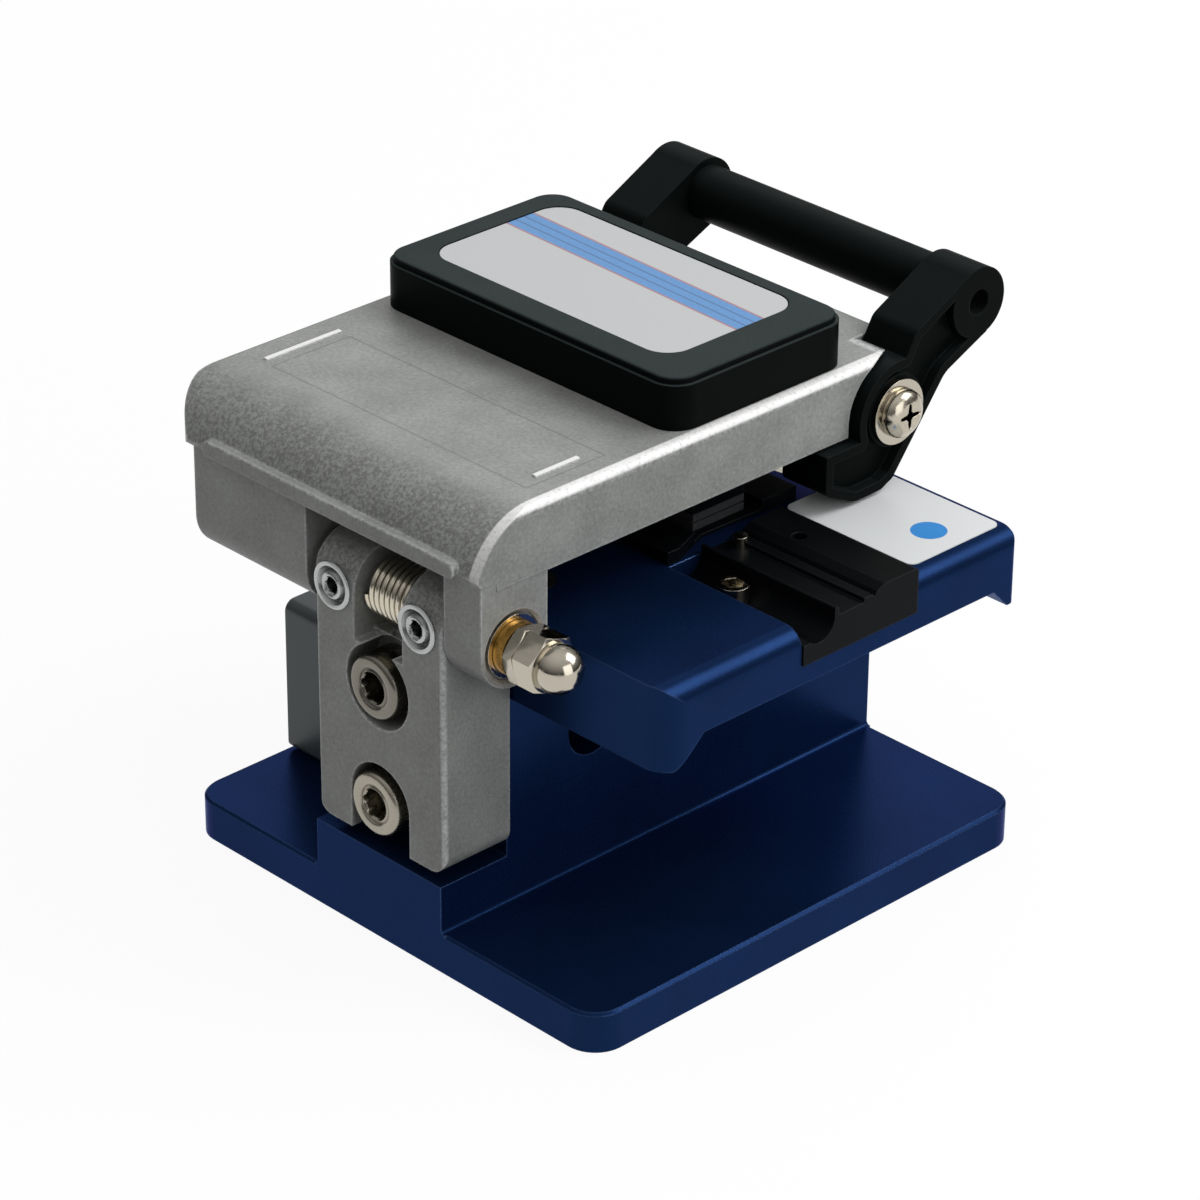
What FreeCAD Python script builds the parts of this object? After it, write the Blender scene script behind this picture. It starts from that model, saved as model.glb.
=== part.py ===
"""A bench fibre cleaver: base, work table, hinged lid with bail, fibre clamps and a sliding blade carriage.

Millimetres. +Z is up, -Y is the front with the bail, +Y the hinge side, X runs along the fibre.
The origin is the centre of the base plate's underside. The model stands with its lid closed.
"""
import FreeCAD
import Part
import math
import os

from FreeCAD import Vector

# ---------------------------------------------------------------- clearances
SLIP = 0.05          # round parts that turn or slide in one another, on the radius
THREAD = 0.02        # a screw in its own hole, on the radius
REST_GAP = 0.20      # flat faces of pieces that move apart
FREE_GAP = 0.40      # pieces that pass one another

# ---------------------------------------------------------------- base frame
PLATE_X = 60.0
PLATE_Y = 61.0
PLATE_THICK = 4.4
PLATE_CORNER = 3.5
PLATE_CHAMFER = 0.3
WEB_LEFT = -8.35
WEB_RIGHT = 10.0
WEB_FILLET = 0.5
LEDGE_TOP = 9.7
ADJUSTER_Y = 10.0
ADJUSTER_Z = 20.2
ADJUSTER_R = 3.3
ADJUSTER_DEPTH = 9.0

# ---------------------------------------------------------------- hinge
HINGE_Y = 26.0
HINGE_Z = 37.2
EAR_R = 4.35
EAR_LEFT = (-8.8, -3.0)
EAR_RIGHT = (3.97, 9.8)
BRACKET_BOTTOM = 11.0
BRACKET_CORNER = 2.0
BRACKET_BEVEL = 0.7
POCKET_FLOOR = 4.7           # wall left between a screw pocket and the seat
UPPER_SCREW = (1.1, 27.9)
LOWER_SCREW = (1.1, 14.8)
UPPER_POCKET = (0.7, 28.4)
POCKET_R = 4.5
SLOT_MIDDLE = (0.55, 15.5)
SLOT_HALF = 4.25
SPRING_ROOM = 1.8            # from the axis back to the spring channel's open side
SHAFT_R = 2.0
SHAFT_RIGHT_END = 23.0
BUSH_WALL = 1.0
BUSH_LENGTH = 9.0
BUSH_NOSE_R = 2.75
BUSH_NOSE = 1.2              # how far the left bush stands out of its lug
LUG_SINK_R = 3.55
LUG_SINK = 0.7
LUG_SINK_BEVEL = 0.3
HINGE_RING_R = 3.3
HINGE_RING = 0.6
SHAFT_END_R = 1.5
JAM_NUT = 1.3
JAM_NUT_TURN = 18.0          # degrees a nut's corner stands from upright
ACORN_HEX = 2.6
ACORN_TURN = 12.0
ACORN_DOME_R = 2.5
ACORN_DOME_OUT = 0.8         # from the hexagon to the dome's centre
SPRING_WIRE = 0.75
SPRING_R = 3.0
SPRING_TURNS = 8
SPRING_END_GAP = 0.1
SET_SCREW_R = 1.5
SET_SCREW_SINK_R = 2.15
SET_SCREW_SINK = 0.65

# ---------------------------------------------------------------- fasteners
M4_R = 2.0
M4_HEAD_R = 3.6
M4_HEAD = 4.0
M4_SOCKET = 3.0              # across flats
M3_NUT = 5.5                 # across flats
M3_R = 1.5
M3_HEAD_R = 2.8
M3_HEAD = 1.7
M3_WASHER_R = 3.5
M3_WASHER = 0.5
PAN_HEAD_R = 2.6
PAN_HEAD = 1.6
PAN_CROSS = 1.3
M2_R = 1.0
M2_HEAD_R = 1.9
M2_HEAD = 1.3

# ---------------------------------------------------------------- work table
TABLE_LEFT = -30.0
TABLE_RIGHT = 28.0
TABLE_FRONT = -27.9
TABLE_UNDER = 30.7
TABLE_TOP = 36.6
TABLE_FRONT_LIP = 1.2
TABLE_FRONT_LIP_Z = 28.5
TABLE_FRONT_SLOPE = 2.1      # how far back the front lip's inside leans
TABLE_BACK_LIP = 1.5
TABLE_BACK_LIP_Z = 27.5
TABLE_BACK_SLOPE = 3.6
TABLE_EDGE_R = 2.2
TABLE_FRONT_CORNER = 0.8
TABLE_BACK_CORNER = 3.0
FIBRE_Y = -7.0
FIBRE_Z = 37.8
BLOCK_LEFT = -30.2
BLOCK_RIGHT = -12.0
BLOCK_Y = (-13.0, 3.1)
BLOCK_FLOOR = 32.8
TROUGH = (0.95, 36.75)
TROUGH_R = 2.1
BLOCK_STEPS = [              # Y and Z along the block's top, then a corner's radius
    (3.1, 35.0), (0.95, 35.0), (0.95, 36.75), (-1.15, 36.75), (-1.15, 37.65, 0.15), (-1.6, 37.65, 0.15),
    (-1.75, 36.75), (-5.2, 36.75), (-5.3, 37.2), (-6.4, 37.2), (-6.75, 36.85), (-7.1, 37.35), (-8.1, 37.8),
    (-13.0, 37.8, 0.5),
]
BLOCK_SCREW = (-18.5, 0.9)
BLOCK_SCREW_SEAT = 34.4
BLOCK_SCREW_TOP = 36.6
BLOCK_SCREW_R = 1.7
BLOCK_HOLE = (-17.6, -9.3)
BLOCK_DOWEL = (-13.6, -5.0)
DOWEL_R = 0.8
DOWEL_TOP = 37.9
PAD_LEFT = (-8.6, 8.4)
PAD_RIGHT = (17.4, 26.4)
PAD_HALF = 3.6
PAD_THICK = 0.8
CLAMP_BAR_TOP = 45.2

# ---------------------------------------------------------------- lid
LID_X = (-14.2, 31.2)
LID_Y = (-29.9, 31.1)
LID_EDGE = 43.9
LID_TOP = 51.3
LID_WALL = 2.3
LID_ROOF = 2.5
LID_BACK_R = 8.0
LID_CORNER = 5.0
LID_EDGE_R = 1.0
LUG_LEFT = (-14.1, -8.95)
LUG_RIGHT = (10.9, 27.7)
LUG_R = 4.3
LIP_BOTTOM = 46.0
LIP_UNDER = 44.8
BAND_X = (-11.4, 25.3)
BAND_Z = (44.95, 46.7)
BAND_OUT = 0.25
BAND_EDGE_R = 0.25
CAP_X = (-12.8, 30.0)
CAP_Y = (-21.0, 3.7)
CAP_TOP = 56.8
CAP_WALL = 1.6
CAP_CORNER = 3.0
CAP_STEP = 0.35
CAP_LABEL_X = (-7.9, 26.8)
CAP_LABEL_Y = (-18.9, -0.1)
LABEL_DEEP = 0.25

# ---------------------------------------------------------------- bail
BAIL_MIDDLE = 7.0            # plane half way between the arms
BAIL_INNER = 16.35           # from that plane to an arm's inner face
BAIL_THICK = 6.05
PIVOT_Y = -25.7
PIVOT_Z = 45.2
HUB_R = 5.7
BAR_Y = -37.1
BAR_Z = 53.7
BAR_R = 3.0
BAR_BORE_R = 1.4
BOSS_R = 3.8
ARM_RIM = 1.0
ARM_SUNK = 1.2
ARM_EDGE_R = 0.3
ARM_PAD_R = 3.9
ARM_OUTLINE = [              # Y and Z round the arm from the bar's boss, then a corner's radius
    (-38.5, 50.1), (-32.4, 47.4, 3.0), (-25.1, 38.0, 1.2), (-23.4, 37.25, 1.5), (-19.5, 37.2, 3.0),
    (-15.3, 39.2, 1.0), (-15.3, 43.5), (-22.0, 43.5), (-22.0, 49.0), (-26.4, 50.7), (-27.9, 53.3, 1.5),
    (-35.45, 57.1),
]

# ---------------------------------------------------------------- carriage and blade
TRAVEL = 20.5
BLADE_R = 7.5
BLADE_THICK = 1.0
BLADE_X = 11.75
BLADE_Y = 3.0
BLADE_Z = 30.5
BLADE_BORE_R = 1.5
BLADE_SLOT_X = (10.3, 16.2)
SLIDER_X = (16.1, 29.5)
SLIDER_BACK = 17.6
SLIDER_LENGTH = 25.0
SLIDER_Z = (4.7, 22.0)
RAIL_Z = (9.8, 16.2)
RAIL_HEIGHT = 4.0
RAIL_LENGTH = 45.0
BEARING_FLANGE = 3.0

# ---------------------------------------------------------------- sizes that follow
HALF_X = PLATE_X / 2
HALF_Y = PLATE_Y / 2
SEAT_Y = HINGE_Y - EAR_R
BRACKET_BACK = HINGE_Y + EAR_R
EAR_TOP = HINGE_Z + EAR_R
TABLE_BACK = SEAT_Y - 0.25
LUG_FRONT = HINGE_Y - LUG_R
LUG_BACK = HINGE_Y + LUG_R
POCKET_Y = SEAT_Y + POCKET_FLOOR
BUSH_R = SHAFT_R + BUSH_WALL
CLAMP_FLOOR = FIBRE_Z - PAD_THICK
FAR = 100.0


# ---------------------------------------------------------------- shapes
def block(x, y, z):
    """A box between two values on each axis."""
    return Part.makeBox(x[1] - x[0], y[1] - y[0], z[1] - z[0], Vector(x[0], y[0], z[0]))


def rod(radius, start, end):
    """A round bar from one point to another."""
    start = Vector(*start)
    run = Vector(*end) - start
    return Part.makeCylinder(radius, run.Length, start, run)


def placed(axis, a, b, level):
    """A point of a flat outline that lies square to an axis at a level."""
    return {"X": Vector(level, a, b), "Y": Vector(a, level, b), "Z": Vector(a, b, level)}[axis]


def outline(points, axis, level):
    """A closed flat face; a point's third value rounds its corner, inward or outward."""
    corners = [Vector(point[0], point[1], 0) for point in points]
    marks = []
    for i, point in enumerate(points):
        corner = corners[i]
        radius = point[2] if len(point) > 2 else 0
        if not radius:
            marks.append([corner])
            continue
        back = (corners[i - 1] - corner).normalize()
        ahead = (corners[(i + 1) % len(points)] - corner).normalize()
        half = back.getAngle(ahead) / 2
        reach = radius / math.tan(half)
        centre = corner + (back + ahead).normalize() * (radius / math.sin(half))
        middle = centre + (corner - centre).normalize() * radius
        marks.append([corner + back * reach, middle, corner + ahead * reach])
    marks = [[placed(axis, mark.x, mark.y, level) for mark in group] for group in marks]
    edges = []
    for i, group in enumerate(marks):
        if len(group) == 3:
            edges.append(Part.Arc(*group).toShape())
        following = marks[(i + 1) % len(marks)][0]
        if (following - group[-1]).Length > 1e-6:
            edges.append(Part.makeLine(group[-1], following))
    return Part.Face(Part.Wire(edges))


def prism(points, axis, low, high):
    """An outline drawn square to an axis and run along it."""
    run = placed(axis, 0, 0, high - low)
    return outline(points, axis, low).extrude(run)


def rounded_box(x, y, z, corner):
    """A box with its upright corners rounded."""
    points = [(x[0], y[0], corner), (x[1], y[0], corner), (x[1], y[1], corner), (x[0], y[1], corner)]
    return prism(points, "Z", z[0], z[1])


def hexagon(across, start, end, turned=0.0):
    """A six-sided bar from one point to another; a corner stands upright unless it is turned."""
    start = Vector(*start)
    run = Vector(*end) - start
    side = Vector(0, 0, 1) if abs(run.z) < abs(run.x) + abs(run.y) else Vector(1, 0, 0)
    other = run.cross(side).normalize()
    reach = across / math.sqrt(3)
    corners = []
    for i in range(7):
        turn = math.radians(60 * i + turned)
        corners.append(start + side * (reach * math.cos(turn)) + other * (reach * math.sin(turn)))
    return Part.Face(Part.makePolygon(corners)).extrude(run)


def edges_at(shape, axis, level):
    """The edges of a shape that lie wholly at one level of an axis."""
    found = []
    for edge in shape.Edges:
        ends = [edge.valueAt(edge.FirstParameter), edge.valueAt(edge.LastParameter)]
        ends.append(edge.valueAt((edge.FirstParameter + edge.LastParameter) / 2))
        if all(abs(getattr(point, axis) - level) < 1e-4 for point in ends):
            found.append(edge)
    return found


def join(*shapes):
    """One solid from touching or overlapping ones, without seams."""
    whole = shapes[0].fuse(list(shapes[1:]))
    return whole.removeSplitter()


def carve(shape, *tools):
    """A shape less the tools."""
    return shape.cut(list(tools))


def group(shapes):
    """Separate solids kept together in one node."""
    return Part.makeCompound(list(shapes))


def across_bail(shape):
    """The mirror image of a shape on the other arm's side."""
    return shape.mirror(Vector(BAIL_MIDDLE, 0, 0), Vector(1, 0, 0))


def coil(radius, wire, pitch, turns, start, along):
    """A wire spring, its wire eight-sided, whose coils begin at a point and step along X or Z."""
    spine = Part.makeHelix(pitch, pitch * turns, radius)
    corners = []
    for i in range(9):
        turn = math.radians(45 * i + 22.5)
        corners.append(Vector(radius + wire / 2 * math.cos(turn), 0, wire / 2 * math.sin(turn)))
    ring = Part.makePolygon(corners)
    spring = Part.Wire(spine).makePipeShell([ring], True, True)
    if along == "X":
        spring.rotate(Vector(0, 0, 0), Vector(0, 1, 0), 90)
    spring.translate(Vector(*start))
    return spring


# ---------------------------------------------------------------- base
def table_screw_places():
    """Centres of the screws that hold the table on the web."""
    return [(x, y) for x in (WEB_LEFT + 4.2, WEB_RIGHT - 4.2) for y in (TABLE_FRONT + 5.5, TABLE_BACK - 6.5)]


def rail_screw_places():
    """Y of the screws that hold the rail."""
    return [rail_start() + RAIL_LENGTH * share for share in (0.12, 0.5, 0.88)]


def rail_start():
    """Y of the rail's front end."""
    return SLIDER_BACK - RAIL_LENGTH


def bearing_span():
    """Y of the front and the back of the bearing block."""
    back = SLIDER_BACK - 3.0
    return back - 17.0, back


def stop_places():
    """Y of the two stop pins that end the bearing block's travel."""
    front, back = bearing_span()
    return [front - TRAVEL - SLIP - M2_R, back + SLIP + M2_R]


def stop_height():
    """Height of the stop pins, level with the bearing block's upper flange."""
    return RAIL_Z[1] + BEARING_FLANGE / 2


def rail_middle():
    """Height of the rail's middle."""
    return (RAIL_Z[0] + RAIL_Z[1]) / 2


def base_frame():
    """Plate and upright web, extruded as one, with the rear cut down to a ledge."""
    section = [
        (-HALF_X, 0), (HALF_X, 0), (HALF_X, PLATE_THICK), (WEB_RIGHT, PLATE_THICK, WEB_FILLET),
        (WEB_RIGHT, TABLE_UNDER), (WEB_LEFT, TABLE_UNDER), (WEB_LEFT, PLATE_THICK, WEB_FILLET),
        (-HALF_X, PLATE_THICK),
    ]
    frame = prism(section, "Y", -HALF_Y, HALF_Y)
    plate = rounded_box((-HALF_X, HALF_X), (-HALF_Y, HALF_Y), (0, PLATE_THICK), PLATE_CORNER)
    plate = plate.makeChamfer(PLATE_CHAMFER, edges_at(plate, "z", PLATE_THICK))
    upright = block((WEB_LEFT - WEB_FILLET, WEB_RIGHT + WEB_FILLET), (-HALF_Y, HALF_Y), (0, TABLE_UNDER))
    frame = frame.common(plate.fuse(upright))
    holes = [block((-FAR, FAR), (SEAT_Y, FAR), (LEDGE_TOP, FAR))]
    holes.append(rod(ADJUSTER_R, (WEB_LEFT, ADJUSTER_Y, ADJUSTER_Z),
                     (WEB_LEFT + ADJUSTER_DEPTH, ADJUSTER_Y, ADJUSTER_Z)))
    for x, z in (UPPER_SCREW, LOWER_SCREW):
        holes.append(rod(M4_R + THREAD, (x, SEAT_Y, z), (x, SEAT_Y - 8.2, z)))
    for x, y in table_screw_places():
        holes.append(rod(M3_R + THREAD, (x, y, TABLE_UNDER), (x, y, TABLE_UNDER - 6.2)))
    for y in rail_screw_places():
        holes.append(rod(M2_R + THREAD, (WEB_RIGHT, y, rail_middle()), (WEB_RIGHT - 5.2, y, rail_middle())))
    for y in stop_places():
        holes.append(rod(M2_R + THREAD, (WEB_RIGHT, y, stop_height()), (WEB_RIGHT - 5.2, y, stop_height())))
    return carve(frame, *holes).removeSplitter()


def work_table():
    """The table: a plate with a lip at each end, a seat for the adapter block and the blade's slot."""
    lip_back = TABLE_BACK - TABLE_BACK_LIP
    lip_front = TABLE_FRONT + TABLE_FRONT_LIP
    section = [
        (TABLE_FRONT, TABLE_FRONT_LIP_Z), (TABLE_FRONT, TABLE_TOP), (TABLE_BACK, TABLE_TOP),
        (TABLE_BACK, TABLE_BACK_LIP_Z), (lip_back, TABLE_BACK_LIP_Z, 0.8),
        (lip_back - TABLE_BACK_SLOPE, TABLE_UNDER), (lip_front + TABLE_FRONT_SLOPE, TABLE_UNDER),
        (lip_front, TABLE_FRONT_LIP_Z),
    ]
    table = prism(section, "X", TABLE_LEFT, TABLE_RIGHT)
    plan = prism([
        (TABLE_LEFT, TABLE_FRONT, TABLE_FRONT_CORNER), (TABLE_RIGHT, TABLE_FRONT, TABLE_FRONT_CORNER),
        (TABLE_RIGHT, TABLE_BACK, TABLE_BACK_CORNER), (TABLE_LEFT, TABLE_BACK, TABLE_BACK_CORNER),
    ], "Z", 0, FAR)
    side = prism([
        (TABLE_LEFT, 0), (TABLE_RIGHT, 0), (TABLE_RIGHT, TABLE_TOP, TABLE_EDGE_R),
        (TABLE_LEFT, TABLE_TOP, TABLE_EDGE_R),
    ], "Y", -FAR, FAR)
    table = table.common(plan).common(side)
    cuts = [block((WEB_LEFT - SLIP, WEB_RIGHT + SLIP), (-FAR, FAR), (0, TABLE_UNDER))]
    cuts.append(block((-FAR, BLOCK_RIGHT + 0.1), (BLOCK_Y[0] - SLIP, BLOCK_Y[1] + SLIP), (BLOCK_FLOOR, FAR)))
    cuts.append(block((WEB_RIGHT, FAR), (lip_back - TABLE_BACK_SLOPE, FAR), (0, TABLE_FRONT_LIP_Z)))
    cuts.append(blade_slot())
    for x, y in table_screw_places():
        cuts.append(rod(M3_R + THREAD, (x, y, 0), (x, y, FAR)))
        cuts.append(Part.makeCone(M3_R, M3_HEAD_R + THREAD, M3_HEAD, Vector(x, y, TABLE_TOP - M3_HEAD)))
    return carve(table, *cuts).removeSplitter()


def blade_slot():
    """The cut that the blade and its mount run in."""
    low = BLADE_Y - TRAVEL - BLADE_R - 0.6
    high = BLADE_Y + BLADE_R + 0.6
    return rounded_box(BLADE_SLOT_X, (low, high), (0, FAR), 1.5)


def table_screws():
    """Countersunk screws that hold the table on the web."""
    screws = []
    for x, y in table_screw_places():
        head = Part.makeCone(M3_R, M3_HEAD_R, M3_HEAD, Vector(x, y, TABLE_TOP - M3_HEAD))
        shank = rod(M3_R, (x, y, TABLE_UNDER - 6), (x, y, TABLE_TOP - 1.6))
        socket = hexagon(2.0, (x, y, TABLE_TOP - 1.0), (x, y, TABLE_TOP))
        screws.append(join(head, shank).cut(socket))
    return group(screws)


def table_label():
    """The blank film on the table beside the adapter block."""
    return rounded_box((-28.1, -10.6), (-27.4, -14.3), (TABLE_TOP, TABLE_TOP + 0.1), 1.0)


# ---------------------------------------------------------------- hinge pieces on the base
def hinge_bracket():
    """The cast bracket: two ears for the shaft, a channel for the spring and two screw pockets."""
    left = EAR_LEFT[0]
    right = EAR_RIGHT[1]
    face = prism([
        (left, BRACKET_BOTTOM, BRACKET_CORNER), (right, BRACKET_BOTTOM, BRACKET_CORNER),
        (right, EAR_TOP), (left, EAR_TOP),
    ], "Y", SEAT_Y, BRACKET_BACK)
    side = prism([
        (SEAT_Y, BRACKET_BOTTOM), (BRACKET_BACK, BRACKET_BOTTOM),
        (BRACKET_BACK, EAR_TOP, EAR_R), (SEAT_Y, EAR_TOP, EAR_R),
    ], "X", left, right)
    plan = prism([
        (left, SEAT_Y), (right, SEAT_Y), (right, BRACKET_BACK, BRACKET_BEVEL),
        (left, BRACKET_BACK, BRACKET_BEVEL),
    ], "Z", 0, FAR)
    body = face.common(side).common(plan)
    channel = (EAR_LEFT[1], EAR_RIGHT[0])
    upper_x, upper_z = UPPER_POCKET
    slot_x, slot_z = SLOT_MIDDLE
    cuts = [
        block(channel, (0, FAR), (HINGE_Z, FAR)),
        rod(EAR_R + 0.25, (channel[0], HINGE_Y, HINGE_Z), (channel[1], HINGE_Y, HINGE_Z)),
        block(channel, (HINGE_Y + SPRING_ROOM, FAR), (HINGE_Z - EAR_R - 0.5, HINGE_Z)),
        rod(POCKET_R, (upper_x, POCKET_Y, upper_z), (upper_x, FAR, upper_z)),
        rod(SLOT_HALF, (slot_x, POCKET_Y, slot_z), (slot_x, FAR, slot_z)),
        block((slot_x - SLOT_HALF, slot_x + SLOT_HALF), (POCKET_Y, FAR), (0, slot_z)),
        rod(SHAFT_R + THREAD, (left, HINGE_Y, HINGE_Z), (right, HINGE_Y, HINGE_Z)),
    ]
    for x, z in (UPPER_SCREW, LOWER_SCREW):
        cuts.append(rod(M4_R + THREAD, (x, 0, z), (x, FAR, z)))
    for x in set_screw_places():
        cuts.append(rod(SET_SCREW_R + THREAD, (x, HINGE_Y, HINGE_Z), (x, FAR, HINGE_Z)))
        sink = BRACKET_BACK - SET_SCREW_SINK
        start = Vector(x, sink, HINGE_Z)
        cuts.append(Part.makeCone(SET_SCREW_R, SET_SCREW_SINK_R, SET_SCREW_SINK, start, Vector(0, 1, 0)))
    return carve(body, *cuts).removeSplitter()


def set_screw_places():
    """X of the set screw in each ear."""
    return [EAR_LEFT[1] - 2.1, EAR_RIGHT[0] + 3.2]


def bracket_screws():
    """Socket cap screws that hold the bracket on the web."""
    screws = []
    for x, z in (UPPER_SCREW, LOWER_SCREW):
        head = rod(M4_HEAD_R, (x, POCKET_Y, z), (x, POCKET_Y + M4_HEAD, z))
        head = head.makeChamfer(0.4, edges_at(head, "y", POCKET_Y + M4_HEAD))
        shank = rod(M4_R, (x, SEAT_Y - 8, z), (x, POCKET_Y, z))
        socket = hexagon(M4_SOCKET, (x, POCKET_Y + 1.7, z), (x, POCKET_Y + M4_HEAD, z))
        screws.append(join(head, shank).cut(socket))
    return group(screws)


def shaft_set_screws():
    """Socket set screws that lock the shaft in the ears."""
    screws = []
    for x in set_screw_places():
        body = rod(SET_SCREW_R, (x, HINGE_Y + SHAFT_R + THREAD, HINGE_Z), (x, BRACKET_BACK - 0.5, HINGE_Z))
        socket = hexagon(1.5, (x, BRACKET_BACK - 1.8, HINGE_Z), (x, BRACKET_BACK, HINGE_Z))
        screws.append(body.cut(socket))
    return group(screws)


def on_axis(radius, start, end):
    """A round bar on the hinge axis."""
    return rod(radius, (start, HINGE_Y, HINGE_Z), (end, HINGE_Y, HINGE_Z))


def nut_places():
    """X where the jam nut and the acorn nut begin and where the hexagon ends, going out from the bush."""
    jam = LUG_LEFT[0] - BUSH_NOSE - REST_GAP
    acorn = jam - JAM_NUT
    return [jam, acorn, acorn - ACORN_HEX]


def hinge_shaft():
    """The steel shaft, locked in the bracket and stepped down for the nuts at its left end."""
    shoulder, acorn, end = nut_places()
    return join(on_axis(SHAFT_R, shoulder, SHAFT_RIGHT_END), on_axis(SHAFT_END_R, end + REST_GAP, shoulder))


def hinge_washer():
    """The ring round the left bush's nose, in the lug's sunk face."""
    floor = LUG_LEFT[0] + LUG_SINK
    ring = on_axis(HINGE_RING_R, floor - HINGE_RING, floor)
    return ring.cut(on_axis(BUSH_NOSE_R + SLIP, floor - HINGE_RING, floor))


def turned(steps, start, way):
    """A turned piece on the hinge axis from (distance, radius) steps, going one way along X."""
    points = [Vector(start + way * steps[0][0], 0, 0)]
    points += [Vector(start + way * along, radius, 0) for along, radius in steps]
    points.append(Vector(start + way * steps[-1][0], 0, 0))
    points.append(points[0])
    piece = Part.Face(Part.makePolygon(points)).revolve(Vector(0, 0, 0), Vector(1, 0, 0), 360)
    piece.translate(Vector(0, HINGE_Y, HINGE_Z))
    return piece


def nut_body(start, thick, turn):
    """A hexagon nut on the hinge axis with the corners of both faces turned off."""
    flat = M3_NUT / 2
    nut = hexagon(M3_NUT, (start, HINGE_Y, HINGE_Z), (start - thick, HINGE_Y, HINGE_Z), turn)
    steps = [(0, flat), (0.25, flat + 0.5), (thick - 0.25, flat + 0.5), (thick, flat)]
    return nut.common(turned(steps, start, -1))


def jam_nut():
    """The thin nut against the shaft's shoulder."""
    start, end, tip = nut_places()
    return nut_body(start, JAM_NUT, JAM_NUT_TURN).cut(on_axis(SHAFT_END_R + THREAD, start, end))


def acorn_nut():
    """The domed nut that closes the shaft's end."""
    jam, start, end = nut_places()
    dome = Part.makeSphere(ACORN_DOME_R, Vector(end - ACORN_DOME_OUT, HINGE_Y, HINGE_Z))
    dome = dome.cut(block((end, FAR), (0, FAR), (0, FAR)))
    inside = on_axis(SHAFT_END_R + THREAD, start, end + REST_GAP / 2)
    return join(nut_body(start, ACORN_HEX, ACORN_TURN), dome).cut(inside)


def torsion_spring():
    """The close-wound spring on the shaft between the ears."""
    start = EAR_LEFT[1] + SPRING_END_GAP + SPRING_WIRE / 2
    end = EAR_RIGHT[0] - SPRING_END_GAP - SPRING_WIRE / 2
    pitch = (end - start) / SPRING_TURNS
    return coil(SPRING_R, SPRING_WIRE, pitch, SPRING_TURNS, (start, HINGE_Y, HINGE_Z), "X")


# ---------------------------------------------------------------- fibre holding
def adapter_block():
    """The block that guides the fibre: a stepped top with a round channel and a narrow groove."""
    front, back = BLOCK_Y
    body = prism([(front, BLOCK_FLOOR), (back, BLOCK_FLOOR)] + BLOCK_STEPS, "X", BLOCK_LEFT, BLOCK_RIGHT)
    cuts = [rod(TROUGH_R, (BLOCK_LEFT - 1, *TROUGH), (BLOCK_RIGHT + 1, *TROUGH))]
    cuts.append(rod(M3_R + THREAD, (*BLOCK_SCREW, 0), (*BLOCK_SCREW, FAR)))
    cuts.append(rod(BLOCK_SCREW_R + SLIP, (*BLOCK_SCREW, BLOCK_SCREW_SEAT), (*BLOCK_SCREW, FAR)))
    cuts.append(rod(DOWEL_R, (*BLOCK_HOLE, 0), (*BLOCK_HOLE, FAR)))
    cuts.append(rod(DOWEL_R + THREAD, (*BLOCK_DOWEL, 0), (*BLOCK_DOWEL, FAR)))
    return carve(body, *cuts)


def block_screw():
    """The screw in the adapter block's channel."""
    head = rod(BLOCK_SCREW_R, (*BLOCK_SCREW, BLOCK_SCREW_SEAT), (*BLOCK_SCREW, BLOCK_SCREW_TOP))
    shank = rod(M3_R, (*BLOCK_SCREW, BLOCK_FLOOR), (*BLOCK_SCREW, BLOCK_SCREW_SEAT))
    socket = hexagon(2.0, (*BLOCK_SCREW, BLOCK_SCREW_TOP - 1.2), (*BLOCK_SCREW, BLOCK_SCREW_TOP))
    return join(head, shank).cut(socket)


def block_pin():
    """The dowel that sets the adapter block's place."""
    return rod(DOWEL_R, (*BLOCK_DOWEL, BLOCK_FLOOR), (*BLOCK_DOWEL, DOWEL_TOP))


def clamp_base(points):
    """A lower clamp plate with a sunk seat for its rubber pad."""
    plate = prism(points, "Z", TABLE_TOP, FIBRE_Z + 0.2)
    seat = block((-FAR, FAR), (FIBRE_Y - 5.0, FIBRE_Y + 5.0), (CLAMP_FLOOR, FAR))
    return plate.cut(seat)


def clamp_pad(pad_x):
    """A rubber strip that the fibre lies on."""
    return block(pad_x, (FIBRE_Y - PAD_HALF, FIBRE_Y + PAD_HALF), (CLAMP_FLOOR, FIBRE_Z))


def lower_clamp_left():
    """The lower clamp plate between the adapter block and the blade."""
    return clamp_base([(-10.0, -16.7), (9.2, -16.7), (9.2, 3.0), (-11.6, 3.0), (-11.6, 1.5), (-9.6, -3.6)])


def lower_clamp_right():
    """The lower clamp plate beyond the blade."""
    return clamp_base([(16.6, -16.7), (27.2, -16.7), (27.2, 3.0), (16.6, 3.0)])


# ---------------------------------------------------------------- carriage
def linear_rail():
    """The rail on the web's right face."""
    low = RAIL_Z[0]
    high = RAIL_Z[1]
    left = WEB_RIGHT
    right = WEB_RIGHT + RAIL_HEIGHT
    section = [
        (left, low), (left + 1.6, low), (left + 2.2, low + 0.6), (left + 2.8, low), (right, low),
        (right, high), (left + 2.8, high), (left + 2.2, high - 0.6), (left + 1.6, high), (left, high),
    ]
    rail = prism(section, "Y", rail_start(), rail_start() + RAIL_LENGTH)
    cuts = []
    for y in rail_screw_places():
        cuts.append(rod(M2_R + THREAD, (0, y, rail_middle()), (FAR, y, rail_middle())))
        cuts.append(rod(M2_HEAD_R + 0.1, (right - 1.5, y, rail_middle()), (FAR, y, rail_middle())))
    return carve(rail, *cuts)


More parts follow.
